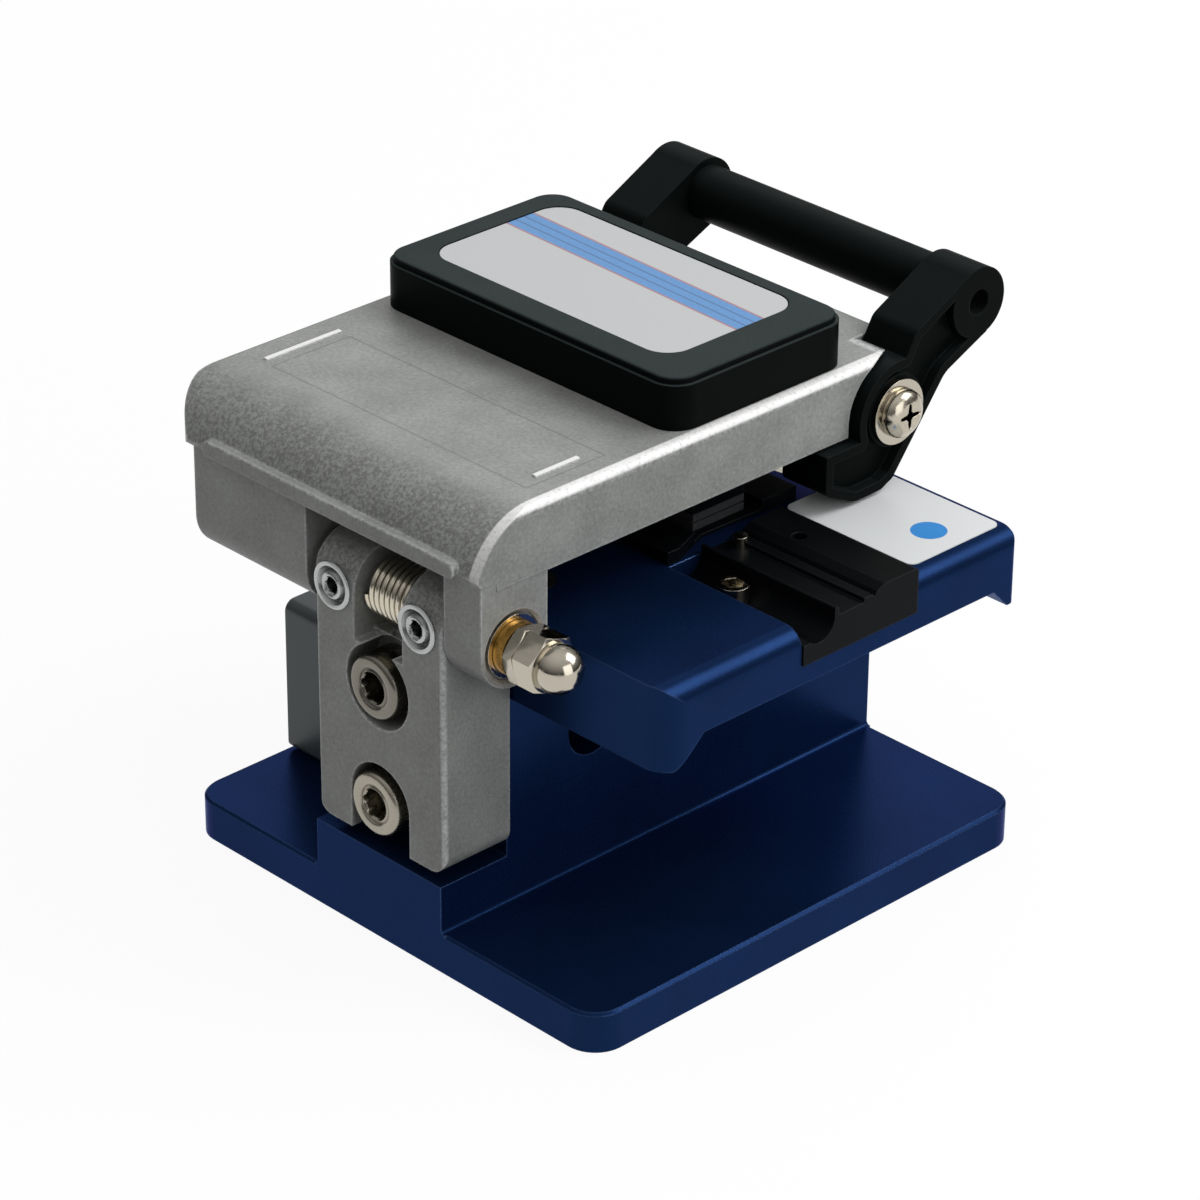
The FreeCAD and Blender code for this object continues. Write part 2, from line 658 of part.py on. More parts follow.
def rail_screws():
    """Cap screws sunk in the rail."""
    seat = WEB_RIGHT + RAIL_HEIGHT - 1.5
    screws = []
    for y in rail_screw_places():
        head = rod(M2_HEAD_R, (seat, y, rail_middle()), (seat + M2_HEAD, y, rail_middle()))
        shank = rod(M2_R, (WEB_RIGHT - 5, y, rail_middle()), (seat, y, rail_middle()))
        socket = hexagon(1.5, (seat + 0.5, y, rail_middle()), (seat + M2_HEAD, y, rail_middle()))
        screws.append(join(head, shank).cut(socket))
    return group(screws)


def rail_stops():
    """Pins in the web that end the carriage's travel."""
    pins = []
    for y in stop_places():
        pins.append(rod(M2_R, (WEB_RIGHT - 5, y, stop_height()), (SLIDER_X[0] - 1, y, stop_height())))
    return group(pins)


def rail_carriage():
    """The bearing block that runs on the rail."""
    left = WEB_RIGHT + 1.0
    height = (RAIL_Z[0] - BEARING_FLANGE, RAIL_Z[1] + BEARING_FLANGE)
    body = block((left, SLIDER_X[0]), bearing_span(), height)
    way = block((0, WEB_RIGHT + RAIL_HEIGHT + 0.1), (-FAR, FAR), (RAIL_Z[0] - 0.1, RAIL_Z[1] + 0.1))
    return body.cut(way)


def slider():
    """The sliding block that the thumb pushes, with a grip at each end."""
    front = SLIDER_BACK - SLIDER_LENGTH
    profile = [
        (front, SLIDER_Z[0], 0.8), (SLIDER_BACK, SLIDER_Z[0], 0.8),
        (SLIDER_BACK, SLIDER_Z[1], 1.2), (front, SLIDER_Z[1], 1.2),
    ]
    body = prism(profile, "X", *SLIDER_X)
    ribs = []
    for i in range(5):
        y = front + 3.0 + 1.6 * i
        ribs.append(block((SLIDER_X[1] - 0.5, FAR), (y, y + 0.7), (7.0, 19.0)))
        y = SLIDER_BACK - 3.0 - 1.6 * i
        ribs.append(block((SLIDER_X[1] - 0.5, FAR), (y - 0.7, y), (7.0, 19.0)))
    return carve(body, *ribs)


def blade_mount():
    """The upright that carries the blade, with a foot on the slider."""
    half = 3.5
    upright = join(
        rod(half, (12.9, BLADE_Y, BLADE_Z), (15.5, BLADE_Y, BLADE_Z)),
        block((12.9, 15.5), (BLADE_Y - half, BLADE_Y + half), (SLIDER_Z[1], BLADE_Z)),
    )
    foot = block((12.9, 23.0), (BLADE_Y - 5.5, BLADE_Y + 5.5), (SLIDER_Z[1], SLIDER_Z[1] + 2.4))
    body = join(upright, foot)
    cuts = [rod(BLADE_BORE_R + THREAD, (0, BLADE_Y, BLADE_Z), (FAR, BLADE_Y, BLADE_Z))]
    for x, y in mount_screw_places():
        cuts.append(rod(M2_R + THREAD, (x, y, 0), (x, y, FAR)))
    return carve(body, *cuts)


def mount_screw_places():
    """Centres of the screws in the blade mount's foot."""
    return [(19.8, BLADE_Y - 3.0), (19.8, BLADE_Y + 3.0)]


def mount_screws():
    """Cap screws that hold the blade mount on the slider."""
    seat = SLIDER_Z[1] + 2.4
    screws = []
    for x, y in mount_screw_places():
        head = rod(M2_HEAD_R, (x, y, seat), (x, y, seat + M2_HEAD))
        shank = rod(M2_R, (x, y, SLIDER_Z[1]), (x, y, seat))
        socket = hexagon(1.5, (x, y, seat + 0.5), (x, y, seat + M2_HEAD))
        screws.append(join(head, shank).cut(socket))
    return group(screws)


def blade_axle():
    """The shoulder screw that the blade turns on."""
    left = BLADE_X - BLADE_THICK / 2 - SLIP
    head = rod(3.0, (left - 0.7, BLADE_Y, BLADE_Z), (left, BLADE_Y, BLADE_Z))
    shank = rod(BLADE_BORE_R, (left, BLADE_Y, BLADE_Z), (15.5, BLADE_Y, BLADE_Z))
    slot = block((left - 0.8, left - 0.3), (BLADE_Y - 4, BLADE_Y + 4), (BLADE_Z - 0.3, BLADE_Z + 0.3))
    return join(head, shank).cut(slot)


def blade_wheel():
    """The round blade: a hard disc ground to an edge, with sixteen index holes."""
    half = BLADE_THICK / 2
    points = [
        Vector(-half, BLADE_BORE_R + SLIP, 0), Vector(half, BLADE_BORE_R + SLIP, 0),
        Vector(half, BLADE_R - 1.0, 0), Vector(0, BLADE_R, 0), Vector(-half, BLADE_R - 1.0, 0),
    ]
    points.append(points[0])
    disc = Part.Face(Part.makePolygon(points)).revolve(Vector(0, 0, 0), Vector(1, 0, 0), 360)
    holes = []
    for i in range(16):
        turn = 2 * math.pi * i / 16
        y = 4.9 * math.cos(turn)
        z = 4.9 * math.sin(turn)
        holes.append(rod(0.35, (-half, y, z), (half, y, z)))
    disc = carve(disc, *holes)
    disc.translate(Vector(BLADE_X, BLADE_Y, BLADE_Z))
    return disc


# ---------------------------------------------------------------- lid
def lid():
    """The cast lid: a shell with a round back, two hinge lugs and notches for the bail's hubs."""
    section = [
        (LID_Y[0], LID_EDGE), (LID_Y[0], LID_TOP), (LID_Y[1], LID_TOP), (LID_Y[1], LIP_BOTTOM),
        (LUG_BACK, LIP_UNDER), (LUG_BACK - 2.0, LIP_UNDER), (LUG_BACK - 2.0, LID_EDGE),
    ]
    shell = prism(section, "X", *LID_X)
    plan = prism([
        (LID_X[0], LID_Y[0]), (LID_X[1], LID_Y[0], 1.5), (LID_X[1], LID_Y[1], LID_CORNER),
        (LID_X[0], LID_Y[1], 0.8),
    ], "Z", 0, FAR)
    end = prism([
        (LID_X[0], 0), (LID_X[1], 0), (LID_X[1], LID_TOP, LID_EDGE_R), (LID_X[0], LID_TOP, LID_EDGE_R),
    ], "Y", -FAR, FAR)
    side = prism([
        (LID_Y[0], 0), (LID_Y[1], 0), (LID_Y[1], LID_TOP, LID_BACK_R), (LID_Y[0], LID_TOP, LID_EDGE_R),
    ], "X", -FAR, FAR)
    shell = shell.common(plan).common(end).common(side)
    roof = LID_TOP - LID_ROOF
    side_y = PIVOT_Y + HUB_R + FREE_GAP + LID_WALL
    hollow = join(
        block((LID_X[0] + LID_WALL, LID_X[1] - LID_WALL), (side_y, LUG_FRONT - 0.1), (0, roof)),
        block((notch_face() + LID_WALL, across(notch_face()) - LID_WALL),
              (LID_Y[0] + LID_WALL, LUG_FRONT - 0.1), (0, roof)),
    )
    shell = shell.cut(hollow)
    body = join(shell, lug(LUG_LEFT), lug(LUG_RIGHT), *pivot_bosses())
    bars = []
    for x, y in ((-10.0, (13.6, 19.4)), (27.1, (11.2, 21.1))):
        bars.append(block((x, x + 0.5), y, (LID_TOP - 0.1, LID_TOP + 0.2)))
    body = join(body, lip_band(), *bars)
    cuts = notches()
    for low, high in (LUG_LEFT, (LUG_RIGHT[0], LUG_RIGHT[0] + BUSH_LENGTH)):
        cuts.append(rod(BUSH_R, (low - 1, HINGE_Y, HINGE_Z), (high, HINGE_Y, HINGE_Z)))
    cuts.append(rod(SHAFT_R + 0.3, (LUG_RIGHT[0], HINGE_Y, HINGE_Z),
                    (SHAFT_RIGHT_END + FREE_GAP, HINGE_Y, HINGE_Z)))
    cuts.append(on_axis(LUG_SINK_R, LUG_LEFT[0] - 1, LUG_LEFT[0] + LUG_SINK))
    wide = LUG_SINK_R + LUG_SINK_BEVEL
    bevel = Vector(LUG_LEFT[0] + LUG_SINK_BEVEL, HINGE_Y, HINGE_Z)
    cuts.append(Part.makeCone(LUG_SINK_R, wide, LUG_SINK_BEVEL, bevel, Vector(-1, 0, 0)))
    for x, y in guide_places():
        cuts.append(rod(1.2 + SLIP, (x, y, 0), (x, y, FAR)))
    thread = rod(M3_R + THREAD, (notch_face(), PIVOT_Y, PIVOT_Z), (notch_face() + 4.7, PIVOT_Y, PIVOT_Z))
    cuts += [thread, across_bail(thread)]
    return carve(body, *cuts).removeSplitter()


def lip_band():
    """The raised band along the lower edge of the lid's back."""
    low, high = BAND_Z
    end_r = (high - low) / 2 - 0.01
    face = LID_Y[1] + BAND_OUT
    band = prism([
        (BAND_X[0], low, end_r), (BAND_X[1], low, end_r), (BAND_X[1], high, end_r), (BAND_X[0], high, end_r),
    ], "Y", LUG_BACK, face)
    return band.makeFillet(BAND_EDGE_R, edges_at(band, "y", face))


def across(x):
    """The same distance on the other side of the bail's middle plane."""
    return 2 * BAIL_MIDDLE - x


def notch_face():
    """X of the lid's wall beside the left arm."""
    return BAIL_MIDDLE - BAIL_INNER + REST_GAP


def lug(span):
    """A hinge lug: square above the axis and round below it."""
    return prism([
        (LUG_FRONT, LIP_UNDER), (LUG_FRONT, HINGE_Z - LUG_R, LUG_R), (LUG_BACK, HINGE_Z - LUG_R, LUG_R),
        (LUG_BACK, LIP_UNDER),
    ], "X", *span)


def notches():
    """The cuts at the front corners that the bail's hubs turn in."""
    cuts = []
    for low, high in ((LID_X[0] - 1, notch_face()), (across(notch_face()), LID_X[1] + 1)):
        cuts.append(rod(HUB_R + FREE_GAP, (low, PIVOT_Y, PIVOT_Z), (high, PIVOT_Y, PIVOT_Z)))
        cuts.append(block((low, high), (-FAR, PIVOT_Y), (0, FAR)))
        cuts.append(block((low, high), (PIVOT_Y - 1, PIVOT_Y + HUB_R + FREE_GAP), (0, PIVOT_Z)))
    return cuts


def pivot_bosses():
    """Bosses inside the lid that take the bail's screws."""
    left = rod(2.9, (notch_face(), PIVOT_Y, PIVOT_Z), (notch_face() + 5.5, PIVOT_Y, PIVOT_Z))
    return [left, across_bail(left)]


def guide_places():
    """Centres of the upper clamp's guide pins."""
    return [(0.0, FIBRE_Y), (22.0, FIBRE_Y)]


def lid_bushes():
    """The bushes that the lid turns on; the left one has a nose that stands out of its lug."""
    floor = LUG_LEFT[0] + LUG_SINK
    left = join(on_axis(BUSH_R, floor, LUG_LEFT[1]), on_axis(BUSH_NOSE_R, LUG_LEFT[0] - BUSH_NOSE, floor))
    right = on_axis(BUSH_R, LUG_RIGHT[0], LUG_RIGHT[0] + BUSH_LENGTH)
    bore = on_axis(SHAFT_R + SLIP, -FAR, FAR)
    return group([left.cut(bore), right.cut(bore)])


def lid_cap():
    """The moulded cover on the lid, with a step below its top edge and a sunk place for the label."""
    low = rounded_box(CAP_X, CAP_Y, (LID_TOP, CAP_TOP - 0.7), CAP_CORNER)
    inner = CAP_STEP
    high = rounded_box((CAP_X[0] + inner, CAP_X[1] - inner), (CAP_Y[0] + inner, CAP_Y[1] - inner),
                       (CAP_TOP - 0.8, CAP_TOP), CAP_CORNER - inner)
    high = high.makeFillet(0.3, edges_at(high, "z", CAP_TOP))
    cap = join(low, high)
    room_x = (CAP_X[0] + CAP_WALL, CAP_X[1] - CAP_WALL)
    room_y = (CAP_Y[0] + CAP_WALL, CAP_Y[1] - CAP_WALL)
    room = rounded_box(room_x, room_y, (0, CAP_TOP - CAP_WALL), CAP_CORNER - CAP_WALL)
    sunk = rounded_box(CAP_LABEL_X, CAP_LABEL_Y, (CAP_TOP - LABEL_DEEP, FAR), 3.0)
    return carve(cap, room, sunk)


def cap_label():
    """The blank plate in the cap's top."""
    edge = 0.1
    x = (CAP_LABEL_X[0] + edge, CAP_LABEL_X[1] - edge)
    y = (CAP_LABEL_Y[0] + edge, CAP_LABEL_Y[1] - edge)
    return rounded_box(x, y, (CAP_TOP - LABEL_DEEP, CAP_TOP - 0.08), 3.0 - edge)


def upper_clamp():
    """The sprung bar that presses both pads on the fibre."""
    low = FIBRE_Z + REST_GAP + PAD_THICK
    bar = block((-9.4, 27.2), (FIBRE_Y - 4.0, FIBRE_Y + 4.0), (41.8, CLAMP_BAR_TOP))
    depth = (FIBRE_Y - PAD_HALF, FIBRE_Y + PAD_HALF)
    legs = [block(span, depth, (low, 41.8)) for span in (PAD_LEFT, PAD_RIGHT)]
    window = block((10.2, 15.6), (-FAR, FAR), (41.0, 43.6))
    well = block((10.2, 15.6), (FIBRE_Y - 2.9, FIBRE_Y + 2.9), (0, FAR))
    pins = [rod(1.2, (x, y, 42.5), (x, y, FAR)) for x, y in guide_places()]
    return carve(join(bar, *legs), window, well, *pins)


def upper_pads():
    """Rubber strips under the upper clamp."""
    low = FIBRE_Z + REST_GAP
    depth = (FIBRE_Y - PAD_HALF, FIBRE_Y + PAD_HALF)
    return group([block(span, depth, (low, low + PAD_THICK)) for span in (PAD_LEFT, PAD_RIGHT)])


def clamp_pins():
    """Guide pins that carry the upper clamp in the lid."""
    return group([rod(1.2, (x, y, 42.5), (x, y, LID_TOP + 1.2)) for x, y in guide_places()])


def clamp_clips():
    """Clips on the guide pins above the lid's roof."""
    rings = []
    for x, y in guide_places():
        ring = rod(2.4, (x, y, LID_TOP + SLIP), (x, y, LID_TOP + 0.5))
        rings.append(ring.cut(rod(1.2, (x, y, 0), (x, y, FAR))))
    return group(rings)


def clamp_springs():
    """Springs round the guide pins between the clamp and the roof."""
    springs = []
    length = LID_TOP - LID_ROOF - CLAMP_BAR_TOP - 0.7
    for x, y in guide_places():
        springs.append(coil(1.75, 0.5, length / 3, 3, (x, y, CLAMP_BAR_TOP + 0.35), "Z"))
    return group(springs)


def anvil_holder():
    """The post under the lid's roof that carries the anvil."""
    return block((11.0, 14.8), (FIBRE_Y - 2.4, FIBRE_Y + 2.4), (39.6, LID_TOP - LID_ROOF))


def anvil():
    """The hard tip that bends the scored fibre."""
    return prism([
        (FIBRE_Y - 2.0, 39.6), (FIBRE_Y + 2.0, 39.6), (FIBRE_Y + 0.6, BLADE_Z + BLADE_R + 0.4),
        (FIBRE_Y - 0.6, BLADE_Z + BLADE_R + 0.4),
    ], "X", 11.3, 14.5)


# ---------------------------------------------------------------- bail
def arm_outer():
    """X of the left arm's outer face."""
    return BAIL_MIDDLE - BAIL_INNER - BAIL_THICK


def arm_blank():
    """A bail arm before its web is sunk, from the bar's boss past the hub to the foot."""
    outer = arm_outer()
    inner = outer + BAIL_THICK
    boss = rod(BOSS_R, (outer, BAR_Y, BAR_Z), (inner, BAR_Y, BAR_Z))
    hub = rod(HUB_R, (outer, PIVOT_Y, PIVOT_Z), (inner, PIVOT_Y, PIVOT_Z))
    top = ARM_OUTLINE[1][:2]
    heel = ARM_OUTLINE[2][:2]
    ahead = prism([top, heel, (-FAR, heel[1]), (-FAR, top[1])], "X", outer, inner)
    return join(prism(ARM_OUTLINE, "X", outer, inner), boss, hub.cut(ahead))


def bail_arm():
    """The left arm: a moulded lever with a raised rim round a sunk web and a seat for the washer."""
    outer = arm_outer()
    arm = arm_blank()
    faces = [face for face in arm.Faces if abs(face.BoundBox.XMax - outer) < 1e-3]
    web = faces[0].makeOffset2D(-ARM_RIM)
    if web.ShapeType != "Face":
        web = Part.Face(web.Wires[0])
    sunk = web.extrude(Vector(ARM_SUNK, 0, 0))
    sunk = sunk.cut(rod(ARM_PAD_R, (outer, PIVOT_Y, PIVOT_Z), (outer + 2, PIVOT_Y, PIVOT_Z)))
    sunk = sunk.cut(rod(BOSS_R, (outer, BAR_Y, BAR_Z), (outer + 2, BAR_Y, BAR_Z)))
    seat = rod(M3_WASHER_R + 2 * SLIP, (outer, PIVOT_Y, PIVOT_Z), (outer + M3_WASHER, PIVOT_Y, PIVOT_Z))
    pad = rod(ARM_PAD_R, (outer, PIVOT_Y, PIVOT_Z), (outer + M3_WASHER, PIVOT_Y, PIVOT_Z)).common(
        web.extrude(Vector(ARM_SUNK, 0, 0)))
    screw = rod(M3_R + SLIP, (outer, PIVOT_Y, PIVOT_Z), (outer + BAIL_THICK, PIVOT_Y, PIVOT_Z))
    core = rod(BAR_BORE_R, (outer, BAR_Y, BAR_Z), (outer + BAIL_THICK, BAR_Y, BAR_Z))
    return carve(arm, sunk, seat, pad, screw, core)


def bail_bar():
    """The round bar between the arms, hollow at its ends."""
    left = BAIL_MIDDLE - BAIL_INNER
    right = BAIL_MIDDLE + BAIL_INNER
    bar = rod(BAR_R, (left, BAR_Y, BAR_Z), (right, BAR_Y, BAR_Z))
    core = rod(BAR_BORE_R, (left, BAR_Y, BAR_Z), (right, BAR_Y, BAR_Z))
    return bar.cut(core)


def bail_rod():
    """The steel rod through the bar, riveted in the arms' bosses."""
    left = arm_outer() + 1.6
    return rod(BAR_BORE_R - THREAD, (left, BAR_Y, BAR_Z), (across(left), BAR_Y, BAR_Z))


def bail_washers():
    """Washers under the pivot screws' heads, level with the arms' outer faces."""
    outer = arm_outer() - SLIP
    ring = rod(M3_WASHER_R, (outer, PIVOT_Y, PIVOT_Z), (outer + M3_WASHER, PIVOT_Y, PIVOT_Z))
    ring = ring.cut(rod(M3_R + THREAD, (-FAR, PIVOT_Y, PIVOT_Z), (FAR, PIVOT_Y, PIVOT_Z)))
    return group([ring, across_bail(ring)])


def bail_screws():
    """Pan head cross screws that the bail turns on."""
    seat = arm_outer() - SLIP
    crown = seat - PAN_HEAD
    head = rod(PAN_HEAD_R, (crown, PIVOT_Y, PIVOT_Z), (seat, PIVOT_Y, PIVOT_Z))
    head = head.makeFillet(0.9, edges_at(head, "x", crown))
    shank = rod(M3_R, (seat, PIVOT_Y, PIVOT_Z), (notch_face() + 4.5, PIVOT_Y, PIVOT_Z))
    deep = (crown - 0.1, crown + 1.1)
    cross = [
        block(deep, (PIVOT_Y - 0.3, PIVOT_Y + 0.3), (PIVOT_Z - PAN_CROSS, PIVOT_Z + PAN_CROSS)),
        block(deep, (PIVOT_Y - PAN_CROSS, PIVOT_Y + PAN_CROSS), (PIVOT_Z - 0.3, PIVOT_Z + 0.3)),
    ]
    screw = carve(join(head, shank), *cross)
    return group([screw, across_bail(screw)])


NODES = {
    "base_frame": base_frame, "work_table": work_table, "table_screws": table_screws,
    "table_label": table_label, "hinge_bracket": hinge_bracket, "bracket_screws": bracket_screws,
    "shaft_set_screws": shaft_set_screws, "hinge_shaft": hinge_shaft, "hinge_washer": hinge_washer,
    "jam_nut": jam_nut, "acorn_nut": acorn_nut, "torsion_spring": torsion_spring,
    "adapter_block": adapter_block, "block_screw": block_screw, "block_pin": block_pin,
    "lower_clamp_left": lower_clamp_left, "lower_clamp_right": lower_clamp_right,
    "lower_pad_left": lambda: clamp_pad(PAD_LEFT), "lower_pad_right": lambda: clamp_pad(PAD_RIGHT),
    "linear_rail": linear_rail, "rail_screws": rail_screws, "rail_stops": rail_stops,
    "rail_carriage": rail_carriage, "slider": slider, "blade_mount": blade_mount,
    "mount_screws": mount_screws, "blade_axle": blade_axle, "blade_wheel": blade_wheel, "lid": lid,
    "lid_bushes": lid_bushes, "lid_cap": lid_cap, "cap_label": cap_label, "upper_clamp": upper_clamp,
    "upper_pads": upper_pads, "clamp_pins": clamp_pins, "clamp_clips": clamp_clips,
    "clamp_springs": clamp_springs, "anvil_holder": anvil_holder, "anvil": anvil,
    "bail_arm_left": bail_arm, "bail_arm_right": lambda: across_bail(bail_arm()), "bail_bar": bail_bar,
    "bail_rod": bail_rod, "bail_washers": bail_washers, "bail_screws": bail_screws,
}

os.makedirs("parts", exist_ok=True)
for node, make in NODES.items():
    make().exportStep(f"parts/{node}.step")
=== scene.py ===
"""Finishes, printed labels, camera and studio for the packed fibre cleaver."""

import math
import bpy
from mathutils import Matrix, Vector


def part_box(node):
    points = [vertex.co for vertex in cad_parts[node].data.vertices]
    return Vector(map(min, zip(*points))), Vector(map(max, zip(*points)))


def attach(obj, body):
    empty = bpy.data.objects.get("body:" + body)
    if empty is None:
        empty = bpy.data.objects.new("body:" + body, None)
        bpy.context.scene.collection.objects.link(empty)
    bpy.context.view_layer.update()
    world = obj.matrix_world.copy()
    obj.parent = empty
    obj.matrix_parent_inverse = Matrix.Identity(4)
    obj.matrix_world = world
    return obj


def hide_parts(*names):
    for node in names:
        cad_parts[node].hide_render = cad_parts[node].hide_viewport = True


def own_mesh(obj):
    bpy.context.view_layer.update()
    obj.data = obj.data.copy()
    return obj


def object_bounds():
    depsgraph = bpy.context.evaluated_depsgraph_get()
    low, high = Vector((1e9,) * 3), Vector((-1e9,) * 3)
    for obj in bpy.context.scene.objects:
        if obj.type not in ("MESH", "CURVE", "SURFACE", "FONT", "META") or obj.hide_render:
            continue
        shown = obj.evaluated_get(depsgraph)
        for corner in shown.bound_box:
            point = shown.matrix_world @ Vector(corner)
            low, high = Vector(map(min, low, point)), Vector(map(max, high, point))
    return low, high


bl_info = {
    "name": "Fibre cleaver looks",
    "version": (1, 0, 0),
    "blender": (4, 5, 0),
    "location": "View3D > Sidebar > Cleaver",
    "description": "Gives the packed fibre cleaver its finishes, labels, camera and studio",
    "category": "Object",
}

import bmesh
import bpy
from bpy.props import FloatProperty, FloatVectorProperty, PointerProperty
from mathutils import Matrix, Vector

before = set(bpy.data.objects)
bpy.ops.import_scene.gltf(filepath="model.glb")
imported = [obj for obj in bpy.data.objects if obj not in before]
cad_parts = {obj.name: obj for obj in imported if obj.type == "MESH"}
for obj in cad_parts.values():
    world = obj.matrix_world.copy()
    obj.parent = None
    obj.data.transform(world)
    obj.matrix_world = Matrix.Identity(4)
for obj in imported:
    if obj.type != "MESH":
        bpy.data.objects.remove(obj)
CAD_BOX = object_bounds()
MM = 0.001


# ---------------------------------------------------------------- colours and nodes


def linear(code):
    """Turns an sRGB hex colour such as #1f3270 into linear red, green and blue."""
    parts = [int(code[i : i + 2], 16) / 255 for i in (1, 3, 5)]
    return tuple(
        c / 12.92 if c <= 0.04045 else ((c + 0.055) / 1.055) ** 2.4 for c in parts
    )


def add_node(tree, kind, sockets=None, **settings):
    """Adds one node; sockets maps an input to its value or to the output that feeds it."""
    node = tree.nodes.new(kind)
    for name, value in settings.items():
        setattr(node, name, value)
    for name, value in (sockets or {}).items():
        if isinstance(value, bpy.types.NodeSocket):
            tree.links.new(value, node.inputs[name])
        else:
            node.inputs[name].default_value = value
    return node


def new_finish(name, colour, metallic, roughness):
    """Starts a material of one Principled shader and hands back its tree, shader and place too."""
    material = bpy.data.materials.new(name)
    material.use_nodes = True
    tree = material.node_tree
    tree.nodes.clear()
    shader = add_node(
        tree,
        "ShaderNodeBsdfPrincipled",
        {"Base Color": (*colour, 1), "Metallic": metallic, "Roughness": roughness},
    )
    add_node(
        tree, "ShaderNodeOutputMaterial", {"Surface": shader.outputs["BSDF"]}
    )
    place = add_node(tree, "ShaderNodeTexCoord").outputs["Object"]
    material.diffuse_color = (*colour, 1)
    return material, tree, shader, place


def per_mm(size):
    """The pattern scale whose features are this many millimetres across."""
    return 1 / (size * MM)


def scaled(colour, times):
    """A colour made lighter or darker."""
    return tuple(min(1.0, c * times) for c in colour)


def edge_mask(tree, radius):
    """Rises from 0 on flat faces to 1 on edges sharper than the radius, where the finishes paint a
    highlight.
    """
    soft = add_node(tree, "ShaderNodeBevel", {"Radius": radius * MM}, samples=4)
    flat = add_node(tree, "ShaderNodeNewGeometry").outputs["Normal"]
    likeness = add_node(
        tree,
        "ShaderNodeVectorMath",
        {0: soft.outputs["Normal"], 1: flat},
        operation="DOT_PRODUCT",
    )
    return add_node(
        tree,
        "ShaderNodeMapRange",
        {
            "Value": likeness.outputs["Value"],
            "From Min": 0.8,
            "From Max": 0.99,
            "To Min": 1.0,
            "To Max": 0.0,
        },
    ).outputs["Result"]


def relief(tree, shader, radius, strength, depth, height):
    """Rounds a finish's edges to a radius and raises its pattern by a depth, both in millimetres."""
    rounded = add_node(tree, "ShaderNodeBevel", {"Radius": radius * MM}, samples=4)
    sockets = {
        "Strength": strength,
        "Distance": depth * MM,
        "Height": height,
        "Normal": rounded.outputs["Normal"],
    }
    bump = add_node(tree, "ShaderNodeBump", sockets)
    tree.links.new(bump.outputs["Normal"], shader.inputs["Normal"])


def vary_roughness(tree, shader, pattern, low, high, start=0.0, end=1.0):
    """Lets a pattern move a finish's roughness; start to end of the pattern is low to high."""
    sockets = {"Value": pattern, "From Min": start, "From Max": end, "To Min": low, "To Max": high}
    sheen = add_node(tree, "ShaderNodeMapRange", sockets)
    tree.links.new(sheen.outputs["Result"], shader.inputs["Roughness"])


def dress(material, *names):
    """Gives CAD nodes a finish on all their slots."""
    for name in names:
        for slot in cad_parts[name].material_slots:
            slot.material = material


def turned_mesh(name, spots, profile, sides=48):
    """Turned bodies, one at each spot.

    A spot is a place and the way it faces. A ring of the profile is a radius, a height and an outline.
    """
    shape = bmesh.new()
    for spot, facing in spots:
        along = Vector(facing)
        across = along.cross(Vector((0, 0, 1)))
        upward = across.cross(along)
        rings = []
        for radius, height, outline in profile:
            ring = []
            for i in range(sides):
                turn = math.tau * i / sides
                reach = radius
                if outline == "hexagon":
                    reach = radius / math.cos(turn % (math.pi / 3) - math.pi / 6)
                if outline == "cross":
                    reach = radius * (0.36 + 0.64 * abs(math.cos(2 * turn)) ** 6)
                ring.append(
                    shape.verts.new(
                        Vector(spot)
                        + (across * math.cos(turn) + upward * math.sin(turn)) * reach * MM
                        + along * height * MM
                    )
                )
            rings.append(ring)
        for lower, upper in zip(rings, rings[1:]):
            for i in range(sides):
                after = (i + 1) % sides
                shape.faces.new((lower[i], lower[after], upper[after], upper[i]))
        shape.faces.new(rings[0][::-1])
        shape.faces.new(rings[-1])
    bmesh.ops.recalc_face_normals(shape, faces=shape.faces)
    return finished_mesh(name, shape)


def finished_mesh(name, shape):
    """Turns a bmesh into a smooth-shaded object in the scene, with its sharp corners kept."""
    mesh = bpy.data.meshes.new(name)
    shape.to_mesh(mesh)
    shape.free()
    mesh.shade_smooth()
    mesh.set_sharp_from_angle(angle=math.radians(32))
    piece = bpy.data.objects.new(name, mesh)
    bpy.context.scene.collection.objects.link(piece)
    return piece


# ---------------------------------------------------------------- what a user would change


class CleaverFinishes(bpy.types.PropertyGroup):
    """Colours and roughness of the metal and moulded finishes."""

    lacquer: FloatVectorProperty(
        name="Silver lacquer",
        description="Colour of the lacquer on the lid and hinge bracket castings",
        default=linear("#969895"),
        subtype="COLOR",
        min=0,
        max=1,
    )
    lacquer_roughness: FloatProperty(
        name="Lacquer roughness",
        description="Roughness of the satin silver lacquer",
        default=0.46,
        min=0,
        max=1,
        subtype="FACTOR",
    )
    anodising: FloatVectorProperty(
        name="Blue anodising",
        description="Dye colour of the anodised base and work table",
        default=linear("#13284d"),
        subtype="COLOR",
        min=0,
        max=1,
    )
    anodising_roughness: FloatProperty(
        name="Anodising roughness",
        description="Roughness of the bead-blasted surface under the anodising",
        default=0.31,
        min=0,
        max=1,
        subtype="FACTOR",
    )
    plastic: FloatVectorProperty(
        name="Black moulding",
        description="Colour of the ABS cap and the nylon bail",
        default=linear("#0b0e0e"),
        subtype="COLOR",
        min=0,
        max=1,
    )
    nickel: FloatVectorProperty(
        name="Nickel plate",
        description="Colour of the plated screws, nuts and shaft",
        default=linear("#b9b2a4"),
        subtype="COLOR",
        min=0,
        max=1,
    )


